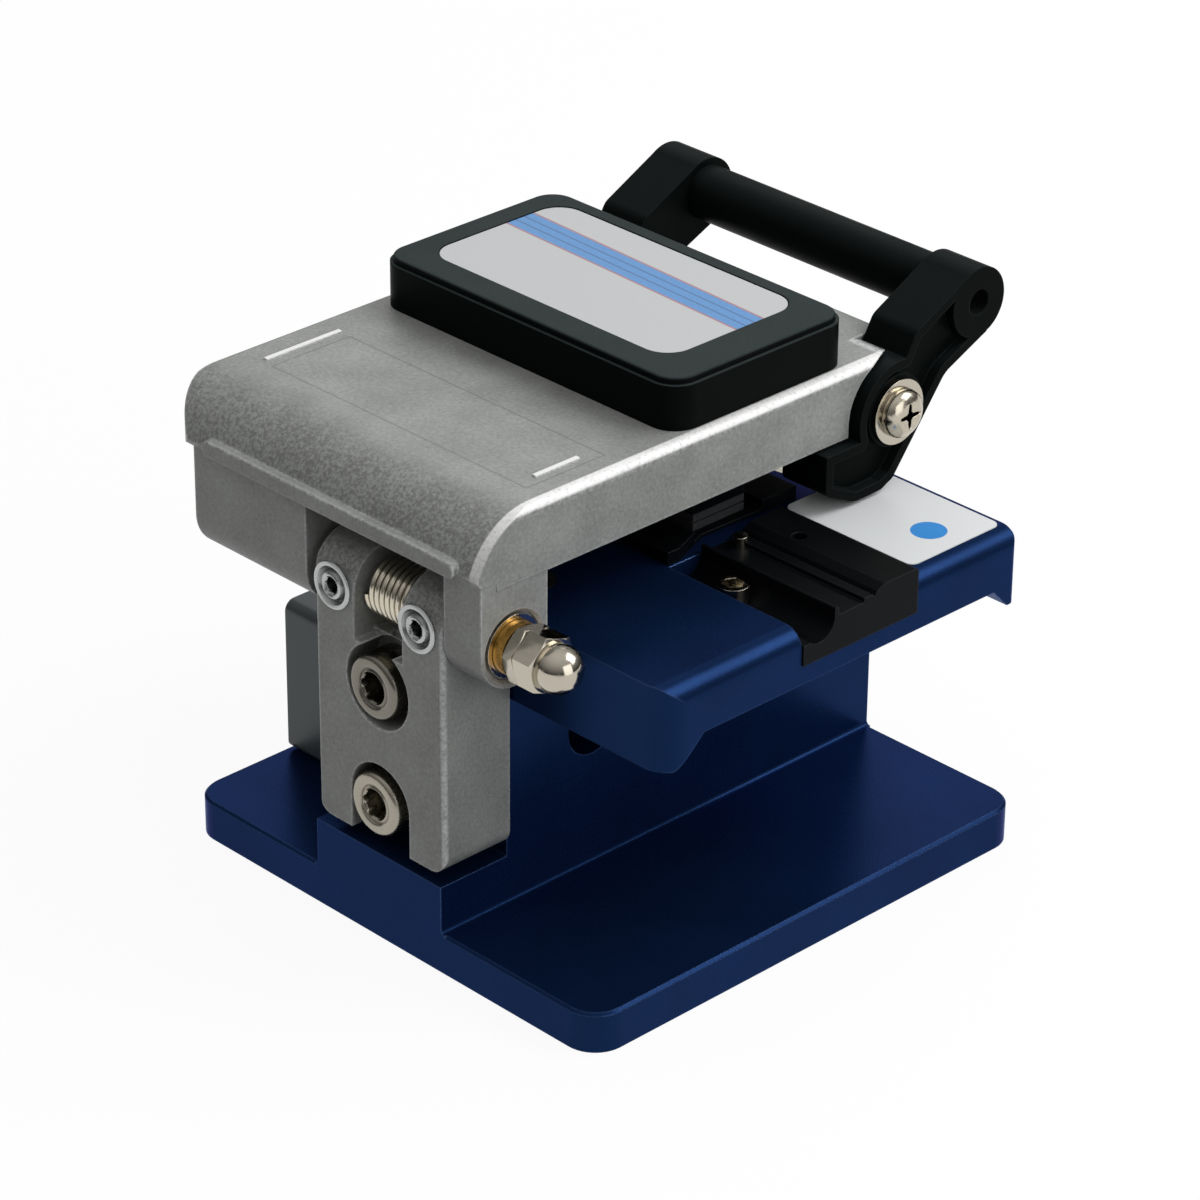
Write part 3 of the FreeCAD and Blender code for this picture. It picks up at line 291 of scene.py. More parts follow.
class CleaverLabels(bpy.types.PropertyGroup):
    """The plain printed bands of the cap label and the disc of the table label."""

    film: FloatVectorProperty(
        name="Label film",
        description="Colour of the white label film",
        default=linear("#c1c3c4"),
        subtype="COLOR",
        min=0,
        max=1,
    )
    band: FloatVectorProperty(
        name="Band",
        description="Colour of the plain band across the cap label",
        default=linear("#5590cc"),
        subtype="COLOR",
        min=0,
        max=1,
    )
    band_edge: FloatVectorProperty(
        name="Band edge",
        description="Colour of the fine line along both edges of the band",
        default=linear("#a87a80"),
        subtype="COLOR",
        min=0,
        max=1,
    )
    band_width: FloatProperty(
        name="Band width",
        description="Width of the band in metres",
        default=3.6 * MM,
        unit="LENGTH",
        min=0,
    )
    band_inset: FloatProperty(
        name="Band inset",
        description="From the label's front edge to the band",
        default=4.6 * MM,
        unit="LENGTH",
        min=0,
    )
    band_turn: FloatProperty(
        name="Band turn",
        description="How far the band is out of line with the label's edge",
        default=math.radians(2.2),
        subtype="ANGLE",
    )
    disc_inset: FloatVectorProperty(
        name="Disc inset",
        description="From the table label's corner to the disc's middle in metres",
        default=(4.0 * MM, 6.3 * MM),
        size=2,
    )
    disc_width: FloatProperty(
        name="Disc width",
        description="Width of the disc in metres",
        default=3.8 * MM,
        unit="LENGTH",
        min=0,
    )
    disc: FloatVectorProperty(
        name="Disc",
        description="Colour of the plain disc on the table label",
        default=linear("#0f88d8"),
        subtype="COLOR",
        min=0,
        max=1,
    )


class CleaverStage(bpy.types.PropertyGroup):
    """Camera, lamps and floor."""

    camera_place: FloatVectorProperty(
        name="Camera place",
        description="Where the camera stands",
        default=(-0.30155, 0.29495, 0.25250),
        subtype="TRANSLATION",
    )
    azimuth: FloatProperty(
        name="Azimuth",
        description="Direction from which the camera looks, 0 along +Y",
        default=math.radians(225.73),
        subtype="ANGLE",
    )
    elevation: FloatProperty(
        name="Elevation",
        description="Height of the camera above the horizon",
        default=math.radians(28.11),
        subtype="ANGLE",
    )
    roll: FloatProperty(
        name="Roll",
        description="Turn of the camera about its own line of sight",
        default=math.radians(0.50),
        subtype="ANGLE",
    )
    lens: FloatProperty(
        name="Focal length",
        description="Lens in millimetres on a 36 mm sensor",
        default=142.2,
        min=1,
    )
    key_power: FloatProperty(
        name="Key power",
        description="Power of the key softbox, which the other two follow",
        default=1.00,
        min=0,
    )
    sky: FloatProperty(
        name="Tent strength",
        description="Brightness of the light tent round the object",
        default=0.40,
        min=0,
    )


# ---------------------------------------------------------------- pieces


class CLEAVER_OT_castings(bpy.types.Operator):
    """Lid and hinge bracket: die castings under satin silver lacquer"""

    bl_idname = "cleaver.castings"
    bl_label = "Lacquered castings"

    def execute(self, context):
        look = context.scene.cleaver_finishes
        dress(lacquered_casting("SilverLacquerOnBracket", look), "hinge_bracket")
        dress(lid_casting(look), "lid")
        return {"FINISHED"}


def lacquered_casting(name, look):
    """Silver lacquer on a sand-rough casting: satin, speckled where the cast skin shows through."""
    # The lacquer holds aluminium flake in a clear binder. Under it the cast skin has grains of
    # about 0.4 mm, faint on the flat faces and strong on the roundings.
    material, tree, shader, place = new_finish(
        name, look.lacquer, 0.12, look.lacquer_roughness
    )
    shader.inputs["Specular IOR Level"].default_value = 0.30
    cloud = add_node(
        tree,
        "ShaderNodeTexNoise",
        {"Vector": place, "Scale": per_mm(5.0), "Detail": 3.0},
    ).outputs["Fac"]
    skin = skin_grain(tree, place)
    flake = add_node(
        tree, "ShaderNodeTexVoronoi", {"Vector": place, "Scale": per_mm(0.16)}
    )
    glint = add_node(
        tree, "ShaderNodeSeparateColor", {"Color": flake.outputs["Color"]}
    ).outputs["Red"]
    face = add_node(tree, "ShaderNodeTexCoord").outputs["Normal"]
    facing = add_node(tree, "ShaderNodeSeparateXYZ", {"Vector": face})
    upward = facing.outputs["Z"]
    # The skin is roughest on the roundings, which no tool has dressed flat.
    level = add_node(tree, "ShaderNodeMapRange", {"Value": upward}).outputs["Result"]
    past = add_node(
        tree,
        "ShaderNodeMapRange",
        {"Value": upward, "To Min": 1.0, "To Max": 0.0},
    ).outputs["Result"]
    rounding = add_node(
        tree, "ShaderNodeMath", {0: level, 1: past}, operation="MULTIPLY"
    ).outputs[0]
    rough_skin = add_node(
        tree,
        "ShaderNodeMapRange",
        {"Value": rounding, "From Min": 0.02, "From Max": 0.16, "To Min": 0.3},
    ).outputs["Result"]
    grain = add_node(
        tree,
        "ShaderNodeMapRange",
        {"Value": skin, "From Min": 0.3, "From Max": 0.7, "To Min": -1.2, "To Max": 1.2},
    ).outputs["Result"]
    speckle = add_node(
        tree, "ShaderNodeMath", {0: grain, 1: rough_skin}, operation="MULTIPLY"
    ).outputs[0]
    sparkle = add_node(
        tree,
        "ShaderNodeMapRange",
        {"Value": glint, "To Min": -0.08, "To Max": 0.08},
    ).outputs["Result"]
    drift = add_node(
        tree,
        "ShaderNodeMapRange",
        {"Value": cloud, "From Min": 0.3, "From Max": 0.7, "To Min": 0.3, "To Max": 0.68},
    ).outputs["Result"]
    light = add_node(
        tree, "ShaderNodeMath", {0: sparkle, 1: drift}, operation="ADD"
    ).outputs[0]
    light = add_node(tree, "ShaderNodeMath", {0: light, 1: speckle}, operation="ADD").outputs[0]
    tone = add_node(
        tree,
        "ShaderNodeMix",
        {0: light, 6: (*scaled(look.lacquer, 0.72), 1), 7: (*scaled(look.lacquer, 1.28), 1)},
        data_type="RGBA",
    ).outputs[2]
    # Painted highlight: sharp edges, and rounded vertical corners whose normal points between X and Y,
    # are painted bright towards bare metal.
    slant = add_node(
        tree,
        "ShaderNodeMath",
        {0: facing.outputs["X"], 1: facing.outputs["Y"]},
        operation="MULTIPLY",
    ).outputs[0]
    slant = add_node(tree, "ShaderNodeMath", {0: slant}, operation="ABSOLUTE").outputs[0]
    sharp = add_node(
        tree,
        "ShaderNodeMapRange",
        {"Value": edge_mask(tree, 0.45), "From Min": 0.05, "From Max": 0.6},
    ).outputs["Result"]
    corner = add_node(
        tree,
        "ShaderNodeMapRange",
        {"Value": slant, "From Min": 0.2, "From Max": 0.45, "To Max": 0.8},
    ).outputs["Result"]
    edges = add_node(
        tree, "ShaderNodeMath", {0: sharp, 1: corner}, operation="MAXIMUM"
    ).outputs[0]
    patchy = add_node(
        tree,
        "ShaderNodeMapRange",
        {"Value": skin, "From Min": 0.38, "From Max": 0.58, "To Min": 0.25, "To Max": 0.8},
    ).outputs["Result"]
    edge_highlight = add_node(
        tree, "ShaderNodeMath", {0: edges, 1: patchy}, operation="MULTIPLY"
    ).outputs[0]
    coat = add_node(
        tree,
        "ShaderNodeMix",
        {0: edge_highlight, 6: tone, 7: (*linear("#e6e8e8"), 1)},
        data_type="RGBA",
    )
    tree.links.new(coat.outputs[2], shader.inputs["Base Color"])
    vary_roughness(
        tree, shader, glint, look.lacquer_roughness - 0.06, look.lacquer_roughness + 0.06
    )
    depth = add_node(
        tree,
        "ShaderNodeMapRange",
        {"Value": rough_skin, "To Min": 0.15, "To Max": 0.75},
    ).outputs["Result"]
    relief(tree, shader, 0.20, depth, 0.06, skin)
    return material


def skin_grain(tree, place):
    """The cast skin's grain, 0.4 mm across."""
    return add_node(
        tree,
        "ShaderNodeTexNoise",
        {"Vector": place, "Scale": per_mm(0.42), "Detail": 5.0, "Roughness": 0.75},
    ).outputs["Fac"]


def lid_casting(look):
    """The lacquered lid: its end edge carries a painted highlight and its two raised bars are painted
    white.
    """
    material = lacquered_casting("SilverLacquerOnLid", look)
    tree = material.node_tree
    shader = next(node for node in tree.nodes if node.type == "BSDF_PRINCIPLED")
    low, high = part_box("lid")
    place = add_node(tree, "ShaderNodeTexCoord").outputs["Object"]
    spot = add_node(tree, "ShaderNodeSeparateXYZ", {"Vector": place})
    face = add_node(tree, "ShaderNodeTexCoord").outputs["Normal"]
    sideways = add_node(tree, "ShaderNodeSeparateXYZ", {"Vector": face}).outputs["X"]
    # A painted highlight lightens the edge of the open end towards bright metal over a width of 1.3
    # mm.
    at_end = add_node(
        tree,
        "ShaderNodeMapRange",
        {
            "Value": spot.outputs["X"],
            "From Min": low.x + 1.15 * MM,
            "From Max": low.x + 1.35 * MM,
            "To Min": 1.0,
            "To Max": 0.0,
        },
    ).outputs["Result"]
    turning = add_node(
        tree,
        "ShaderNodeMapRange",
        {"Value": sideways, "From Min": -0.97, "From Max": -0.88},
    ).outputs["Result"]
    # The painted highlight begins at the top of the lip band and is full 1.6 mm above it.
    lip_top = 44.6 * MM
    above_lip = add_node(
        tree,
        "ShaderNodeMapRange",
        {"Value": spot.outputs["Z"], "From Min": lip_top, "From Max": lip_top + 1.6 * MM},
    ).outputs["Result"]
    patchy = add_node(
        tree,
        "ShaderNodeMapRange",
        {"Value": skin_grain(tree, place), "From Min": 0.35, "From Max": 0.5, "To Min": 0.65},
    ).outputs["Result"]
    end_highlight = at_end
    for share in (turning, above_lip, patchy):
        end_highlight = add_node(
            tree, "ShaderNodeMath", {0: end_highlight, 1: share}, operation="MULTIPLY"
        ).outputs[0]
    # The bars stand 0.2 mm above the lid and are the highest thing on it.
    painted = add_node(
        tree,
        "ShaderNodeMapRange",
        {
            "Value": spot.outputs["Z"],
            "From Min": high.z - 0.12 * MM,
            "From Max": high.z - 0.1 * MM,
        },
    ).outputs["Result"]
    coat = shader.inputs["Base Color"].links[0].from_socket
    end_highlit = add_node(
        tree,
        "ShaderNodeMix",
        {0: end_highlight, 6: coat, 7: (*linear("#f4f4f3"), 1)},
        data_type="RGBA",
    ).outputs[2]
    paint = add_node(
        tree,
        "ShaderNodeMix",
        {0: painted, 6: end_highlit, 7: (*linear("#f6f6f6"), 1)},
        data_type="RGBA",
    ).outputs[2]
    # A plain panel is scribed between the bars, a line 0.2 mm wide.
    middle = Vector((7.4, 16.4, 0.0)) * MM
    half = Vector((18.4, 5.1, 0.0)) * MM
    gaps = []
    for index, axis in enumerate("XY"):
        off = add_node(
            tree, "ShaderNodeMath", {0: spot.outputs[axis], 1: middle[index]}, operation="SUBTRACT"
        ).outputs[0]
        size = add_node(tree, "ShaderNodeMath", {0: off}, operation="ABSOLUTE").outputs[0]
        gaps.append(
            add_node(
                tree, "ShaderNodeMath", {0: size, 1: half[index]}, operation="SUBTRACT"
            ).outputs[0]
        )
    edge = add_node(
        tree, "ShaderNodeMath", {0: gaps[0], 1: gaps[1]}, operation="MAXIMUM"
    ).outputs[0]
    away = add_node(tree, "ShaderNodeMath", {0: edge}, operation="ABSOLUTE").outputs[0]
    scribed = add_node(
        tree,
        "ShaderNodeMapRange",
        {
            "Value": away,
            "From Min": 0.06 * MM,
            "From Max": 0.14 * MM,
            "To Min": 0.45,
            "To Max": 0.0,
        },
    ).outputs["Result"]
    on_top = add_node(
        tree,
        "ShaderNodeMapRange",
        {
            "Value": spot.outputs["Z"],
            "From Min": high.z - 0.26 * MM,
            "From Max": high.z - 0.24 * MM,
        },
    ).outputs["Result"]
    line = add_node(
        tree, "ShaderNodeMath", {0: scribed, 1: on_top}, operation="MULTIPLY"
    ).outputs[0]
    marked = add_node(
        tree,
        "ShaderNodeMix",
        {0: line, 6: paint, 7: (*scaled(look.lacquer, 0.35), 1)},
        data_type="RGBA",
    ).outputs[2]
    tree.links.new(marked, shader.inputs["Base Color"])
    return material


class CLEAVER_OT_blue_parts(bpy.types.Operator):
    """Base frame and work table: machined aluminium, bead blasted and anodised blue"""

    bl_idname = "cleaver.blue_parts"
    bl_label = "Blue anodised parts"

    def execute(self, context):
        look = context.scene.cleaver_finishes
        # Bead blasting leaves dimples of about 0.1 mm, which the dyed oxide follows: a deep satin
        # blue with soft highlights. Dimples are drawn at 0.2 mm to show.
        blue, tree, shader, place = new_finish(
            "BlueAnodisedAluminium", look.anodising, 0.6, look.anodising_roughness
        )
        shader.inputs["Specular IOR Level"].default_value = 0.10
        shader.inputs["Specular Tint"].default_value = (*linear("#8cabe6"), 1)
        blast = add_node(
            tree,
            "ShaderNodeTexNoise",
            {"Vector": place, "Scale": per_mm(0.20), "Detail": 3.0, "Roughness": 0.65},
        )
        dye = add_node(
            tree,
            "ShaderNodeTexNoise",
            {"Vector": place, "Scale": per_mm(9.0), "Detail": 2.0},
        )
        drift = add_node(
            tree,
            "ShaderNodeMapRange",
            {"Value": dye.outputs["Fac"], "From Min": 0.3, "From Max": 0.7},
        ).outputs["Result"]
        tone = add_node(
            tree,
            "ShaderNodeMix",
            {
                0: drift,
                6: (*scaled(look.anodising, 0.9), 1),
                7: (*scaled(look.anodising, 1.1), 1),
            },
            data_type="RGBA",
        ).outputs[2]
        # Sharp edges are painted a paler blue, a painted highlight for the line of light they catch.
        edge_highlight = add_node(
            tree, "ShaderNodeMapRange", {"Value": edge_mask(tree, 0.22), "To Max": 0.45}
        ).outputs["Result"]
        coat = add_node(
            tree,
            "ShaderNodeMix",
            {0: edge_highlight, 6: tone, 7: (*linear("#6480b8"), 1)},
            data_type="RGBA",
        )
        tree.links.new(coat.outputs[2], shader.inputs["Base Color"])
        vary_roughness(
            tree,
            shader,
            blast.outputs["Fac"],
            look.anodising_roughness - 0.07,
            look.anodising_roughness + 0.07,
            0.3,
            0.7,
        )
        relief(tree, shader, 0.20, 0.30, 0.02, blast.outputs["Fac"])
        dress(blue, "base_frame", "work_table")
        return {"FINISHED"}


class CLEAVER_OT_carriage(bpy.types.Operator):
    """Rail, ball carriage, slider and blade mount of the cleaving carriage"""

    bl_idname = "cleaver.carriage"
    bl_label = "Rail and carriage"

    def execute(self, context):
        # A ground steel rail: bright, with grinding lines 0.15 mm apart along its travel.
        rail, tree, shader, place = new_finish(
            "GroundBearingSteel", linear("#b4b6b8"), 1.0, 0.26
        )
        along = add_node(
            tree, "ShaderNodeMapping", {"Vector": place, "Scale": (0.2, 0.04, 1.0)}
        )
        lines = add_node(
            tree,
            "ShaderNodeTexNoise",
            {"Vector": along.outputs["Vector"], "Scale": per_mm(0.15), "Detail": 2.0},
        )
        vary_roughness(tree, shader, lines.outputs["Fac"], 0.18, 0.36)
        relief(tree, shader, 0.10, 0.08, 0.01, lines.outputs["Fac"])
        dress(rail, "linear_rail", "rail_carriage", "rail_screws", "rail_stops")
        # Slider and mount: milled aluminium, clear anodised, with faint cutter lines 0.25 mm apart.
        milled, tree, shader, place = new_finish(
            "ClearAnodisedAluminium", linear("#555a5c"), 0.3, 0.36
        )
        shader.inputs["Specular IOR Level"].default_value = 0.20
        across = add_node(
            tree, "ShaderNodeMapping", {"Vector": place, "Scale": (0.06, 1.0, 1.0)}
        )
        lines = add_node(
            tree,
            "ShaderNodeTexNoise",
            {"Vector": across.outputs["Vector"], "Scale": per_mm(0.25), "Detail": 3.0},
        )
        vary_roughness(tree, shader, lines.outputs["Fac"], 0.3, 0.44)
        relief(tree, shader, 0.14, 0.22, 0.015, lines.outputs["Fac"])
        dress(milled, "slider", "blade_mount", "anvil_holder")
        return {"FINISHED"}


class CLEAVER_OT_fasteners(bpy.types.Operator):
    """Screws, nuts, hinge shaft, spring and bushes"""

    bl_idname = "cleaver.fasteners"
    bl_label = "Fasteners and hinge"

    def execute(self, context):
        look = context.scene.cleaver_finishes
        # Nickel plate on steel: a warm mirror with a little haze from the turned metal under it.
        nickel, tree, shader, place = new_finish(
            "BrightNickelPlate", look.nickel, 1.0, 0.13
        )
        haze = add_node(
            tree,
            "ShaderNodeTexNoise",
            {"Vector": place, "Scale": per_mm(0.5), "Detail": 4.0},
        )
        vary_roughness(tree, shader, haze.outputs["Fac"], 0.08, 0.22, 0.3, 0.7)
        rounded = add_node(tree, "ShaderNodeBevel", {"Radius": 0.09 * MM}, samples=4)
        tree.links.new(rounded.outputs["Normal"], shader.inputs["Normal"])
        dress(
            nickel,
            "table_screws",
            "hinge_shaft",
            "hinge_washer",
            "jam_nut",
            "acorn_nut",
            "block_screw",
            "block_pin",
            "bail_rod",
            "bail_washers",
        )
        # Spring wire: drawn steel with a dull bright surface and die lines round the coil.
        wire, tree, shader, place = new_finish(
            "DrawnSpringWire", linear("#c9c2b2"), 1.0, 0.20
        )
        haze = add_node(
            tree,
            "ShaderNodeTexNoise",
            {"Vector": place, "Scale": per_mm(0.3), "Detail": 3.0},
        )
        vary_roughness(tree, shader, haze.outputs["Fac"], 0.16, 0.26, 0.3, 0.7)
        dress(wire, "clamp_clips")
        for piece in (hinge_coil(), clamp_coils()):
            piece.data.materials.append(wire)
        # The bracket's screws stand at these heights in millimetres; the upper one is painted darker,
        # as painted shade.
        upper = 27.9
        lower = 14.8
        for piece, finish in (
            (set_screws(), ("ZincPlatedSteel", "#b4b6b6", 0.24)),
            (pan_head_screws(), ("WornNickelPlate", "#c4bcab", 0.18)),
            (bracket_screws("upper_bracket_screw", upper), ("NickelInPaintedShade", "#7c786f", 0.22)),
            (bracket_screws("lower_bracket_screw", lower), ("DullNickelPlate", "#a29c8f", 0.24)),
        ):
            piece.data.materials.append(turned_steel(*finish))
        # Black oxide on the small steel screws out of reach: dark, slightly brown, low sheen.
        oxide, tree, shader, place = new_finish(
            "BlackOxideSteel", linear("#2a2827"), 0.8, 0.38
        )
        haze = add_node(
            tree,
            "ShaderNodeTexNoise",
            {"Vector": place, "Scale": per_mm(0.6), "Detail": 4.0},
        )
        vary_roughness(tree, shader, haze.outputs["Fac"], 0.3, 0.48, 0.3, 0.7)
        dress(oxide, "mount_screws", "clamp_pins")
        # Brass bushes: turned, so fine rings run round the bore.
        brass, tree, shader, place = new_finish(
            "TurnedBrass", linear("#c59a52"), 1.0, 0.28
        )
        rings = add_node(
            tree,
            "ShaderNodeTexNoise",
            {"Vector": place, "Scale": per_mm(0.2), "Detail": 2.0},
        )
        vary_roughness(tree, shader, rings.outputs["Fac"], 0.2, 0.38)
        dress(brass, "lid_bushes")
        return {"FINISHED"}


def clamp_coils():
    """The two springs that press the fibre clamp down."""
    low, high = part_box("clamp_springs")
    wire = 0.20 * MM
    turns = 4
    radius = (high.y - low.y) / 2 - wire
    shape = bmesh.new()
    for x in (low.x + radius + wire, high.x - radius - wire):
        coil_tube(
            shape,
            Vector((x, (low.y + high.y) / 2, high.z - wire)),
            Vector((0, 0, low.z - high.z + 2 * wire)),
            Vector((1, 0, 0)),
            radius,
            wire,
            turns,
        )
    piece = finished_mesh("clamp_coils", shape)
    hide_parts("clamp_springs")
    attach(piece, "lid")
    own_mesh(piece)
    return piece


def turned_steel(name, tone, roughness):
    """Plated steel turned in a lathe: tool marks 0.3 mm across, with painted shade in the hollows."""
    material, tree, shader, place = new_finish(name, linear(tone), 1.0, roughness)
    rings = add_node(
        tree,
        "ShaderNodeTexNoise",
        {"Vector": place, "Scale": per_mm(0.3), "Detail": 4.0, "Roughness": 0.7},
    ).outputs["Fac"]
    vary_roughness(tree, shader, rings, roughness - 0.06, roughness + 0.12, 0.3, 0.7)
    # Painted shade: ambient occlusion darkens the grooves and the socket, so hollows are nearly black.
    hollow = add_node(
        tree, "ShaderNodeAmbientOcclusion", {"Distance": 1.2 * MM}, samples=8, only_local=True
    ).outputs["AO"]
    clear = add_node(
        tree,
        "ShaderNodeMapRange",
        {"Value": hollow, "From Min": 0.35, "From Max": 0.85},
    ).outputs["Result"]
    marks = add_node(
        tree,
        "ShaderNodeMapRange",
        {"Value": rings, "From Min": 0.3, "From Max": 0.7, "To Min": 0.82},
    ).outputs["Result"]
    shade_and_marks = add_node(
        tree, "ShaderNodeMath", {0: clear, 1: marks}, operation="MULTIPLY"
    ).outputs[0]
    shaded_and_marked = add_node(
        tree,
        "ShaderNodeMix",
        {0: shade_and_marks, 6: (*linear("#1b1a17"), 1), 7: (*linear(tone), 1)},
        data_type="RGBA",
    ).outputs[2]
    tree.links.new(shaded_and_marked, shader.inputs["Base Color"])
    relief(tree, shader, 0.10, 0.2, 0.02, rings)
    return material


def set_screws():
    """The two screws that lock the shaft, each with a rim, a groove and a raised socketed centre."""
    low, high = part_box("shaft_set_screws")
    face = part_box("hinge_bracket")[1].y
    middle = (low.z + high.z) / 2
    left = low.x + 1.40 * MM
    right = high.x - 1.65 * MM
    spots = [((left, face, middle), (0, 1, 0)), ((right, face, middle), (0, 1, 0))]
    profile = (
        (1.5, -2.3, "round"), (1.5, -0.7, "round"), (2.1, -0.3, "round"), (2.5, -0.02, "round"),
        (2.58, 0.08, "round"), (2.50, 0.22, "round"), (2.30, 0.28, "round"), (2.05, 0.20, "round"),
        (1.85, -0.15, "round"), (1.70, -0.25, "round"), (1.55, -0.10, "round"),
        (1.40, 0.22, "round"), (1.20, 0.32, "round"), (1.00, 0.25, "round"),
        (0.80, 0.05, "hexagon"), (0.78, -1.0, "hexagon"),
    )
    piece = turned_mesh("shaft_lock_screws", spots, profile)
    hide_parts("shaft_set_screws")
    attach(piece, "base")
    return piece


def bracket_screws(name, height):
    """One socket head screw of the bracket, its rim rounded and a groove rolled inside it."""
    low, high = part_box("bracket_screws")
    aside = 0.45 * MM
    spot = ((low.x + high.x) / 2 + aside, high.y, height * MM)
    profile = (
        (2.0, -16.0, "round"), (2.0, -3.99, "round"), (3.35, -3.99, "round"),
        (3.45, -3.7, "round"), (3.45, -0.60, "round"), (3.36, -0.28, "round"),
        (3.12, -0.06, "round"), (2.85, 0.0, "round"), (2.35, 0.0, "round"), (2.15, -0.10, "round"),
        (2.02, -0.26, "round"), (1.85, -0.18, "round"), (1.74, -0.12, "round"),
        (1.52, -0.34, "hexagon"), (1.50, -2.2, "hexagon"),
    )
    piece = turned_mesh(name, [(spot, (0, 1, 0))], profile)
    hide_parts("bracket_screws")
    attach(piece, "base")
    return piece


def pan_head_screws():
    """The two cross-recessed screws of the bail's pivot, their heads domed."""
    low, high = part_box("bail_screws")
    middle = (low + high) / 2
    head = 1.6 * MM
    spots = [
        ((low.x + head, middle.y, middle.z), (-1, 0, 0)),
        ((high.x - head, middle.y, middle.z), (1, 0, 0)),
    ]
    profile = (
        (2.55, 0.0, "round"), (2.60, 0.12, "round"), (2.60, 0.45, "round"), (2.50, 0.80, "round"),
        (2.28, 1.10, "round"), (1.95, 1.34, "round"), (1.60, 1.50, "round"), (1.45, 1.55, "round"),
        (1.42, 1.45, "cross"), (1.00, 0.35, "cross"),
    )
    piece = turned_mesh("bail_pan_heads", spots, profile)
    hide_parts("bail_screws")
    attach(piece, "lid")
    return piece


def coil_tube(shape, start, run, out, radius, wire, turns):
    """Adds a round-wire coil to a bmesh, from a point on its axis and along a vector."""
    along = run.normalized()
    aside = along.cross(out)
    steps = 44 * turns
    facets = 12
    rings = []
    for i in range(steps + 1):
        turn = math.tau * turns * i / steps
        away = out * math.cos(turn) + aside * math.sin(turn)
        centre = start + run * i / steps + away * radius
        ring = []
        for k in range(facets):
            angle = math.tau * k / facets
            ring.append(
                shape.verts.new(centre + (away * math.cos(angle) + along * math.sin(angle)) * wire)
            )
        rings.append(ring)
    for lower, upper in zip(rings, rings[1:]):
        for k in range(facets):
            after = (k + 1) % facets
            shape.faces.new((lower[k], lower[after], upper[after], upper[k]))
    shape.faces.new(rings[0][::-1])
    shape.faces.new(rings[-1])
    bmesh.ops.recalc_face_normals(shape, faces=shape.faces)


def hinge_coil():
    """The hinge's torsion spring: eight close turns of 0.66 mm wire on the shaft."""
    low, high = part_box("torsion_spring")
    middle = (low + high) / 2
    wire = 0.33 * MM
    turns = 8
    shape = bmesh.new()
    coil_tube(
        shape,
        Vector((low.x + wire, middle.y, middle.z)),
        Vector((high.x - low.x - 2 * wire, 0, 0)),
        Vector((0, 1, 0)),
        (high.z - low.z) / 2 - wire,
        wire,
        turns,
    )
    piece = finished_mesh("hinge_coil", shape)
    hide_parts("torsion_spring")
    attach(piece, "base")
    return piece


class CLEAVER_OT_clamps(bpy.types.Operator):
    """Fibre clamps, their rubber faces and the anvil"""

    bl_idname = "cleaver.clamps"
    bl_label = "Fibre clamps"

    def execute(self, context):
        # Hard anodised black aluminium: nearly black, satin, with milling lines 0.3 mm apart.
        black, tree, shader, place = new_finish(
            "BlackHardAnodising", linear("#0c0e11"), 0.3, 0.40
        )
        shader.inputs["Specular IOR Level"].default_value = 0.04
        across = add_node(
            tree, "ShaderNodeMapping", {"Vector": place, "Scale": (0.08, 1.0, 1.0)}
        )
        lines = add_node(
            tree,
            "ShaderNodeTexNoise",
            {"Vector": across.outputs["Vector"], "Scale": per_mm(0.3), "Detail": 2.0},
        )
        # Sharp edges are painted a lighter grey: a painted highlight.
        edge_highlight = add_node(
            tree, "ShaderNodeMapRange", {"Value": edge_mask(tree, 0.16), "To Max": 0.4}
        ).outputs["Result"]
        coat = add_node(
            tree,
            "ShaderNodeMix",
            {0: edge_highlight, 6: (*linear("#0c0e11"), 1), 7: (*linear("#4a4e52"), 1)},
            data_type="RGBA",
        ).outputs[2]
        tree.links.new(coat, shader.inputs["Base Color"])
        vary_roughness(tree, shader, lines.outputs["Fac"], 0.32, 0.5)
        relief(tree, shader, 0.14, 0.2, 0.015, lines.outputs["Fac"])
        dress(black, "adapter_block", "lower_clamp_left", "lower_clamp_right", "upper_clamp")
        # Nitrile rubber faces: matt black with a dusty bloom.
        rubber, tree, shader, place = new_finish(
            "NitrileRubber", linear("#26272a"), 0.0, 0.78
        )
        bloom = add_node(
            tree,
            "ShaderNodeTexNoise",
            {"Vector": place, "Scale": per_mm(0.35), "Detail": 5.0},
        )
        coat = add_node(
            tree,
            "ShaderNodeMix",
            {0: bloom.outputs["Fac"], 6: (*linear("#1d1e20"), 1), 7: (*linear("#35363a"), 1)},
            data_type="RGBA",
        ).outputs[2]
        tree.links.new(coat, shader.inputs["Base Color"])
        bump = add_node(
            tree,
            "ShaderNodeBump",
            {"Strength": 0.25, "Distance": 0.02 * MM, "Height": bloom.outputs["Fac"]},
        )
        tree.links.new(bump.outputs["Normal"], shader.inputs["Normal"])
        dress(rubber, "lower_pad_left", "lower_pad_right", "upper_pads", "anvil")
        return {"FINISHED"}


class CLEAVER_OT_cap(bpy.types.Operator):
    """Moulded cap of the lid and its plain printed label"""

    bl_idname = "cleaver.cap"
    bl_label = "Cap and labels"

    def execute(self, context):
        look = context.scene.cleaver_finishes
        prints = context.scene.cleaver_labels
        dress(moulded_plastic("BlackMouldedABS", look.plastic, 10.0), "lid_cap")
        dress(printed_label(prints), "cap_label")
        dress(disc_label(prints), "table_label")
        return {"FINISHED"}


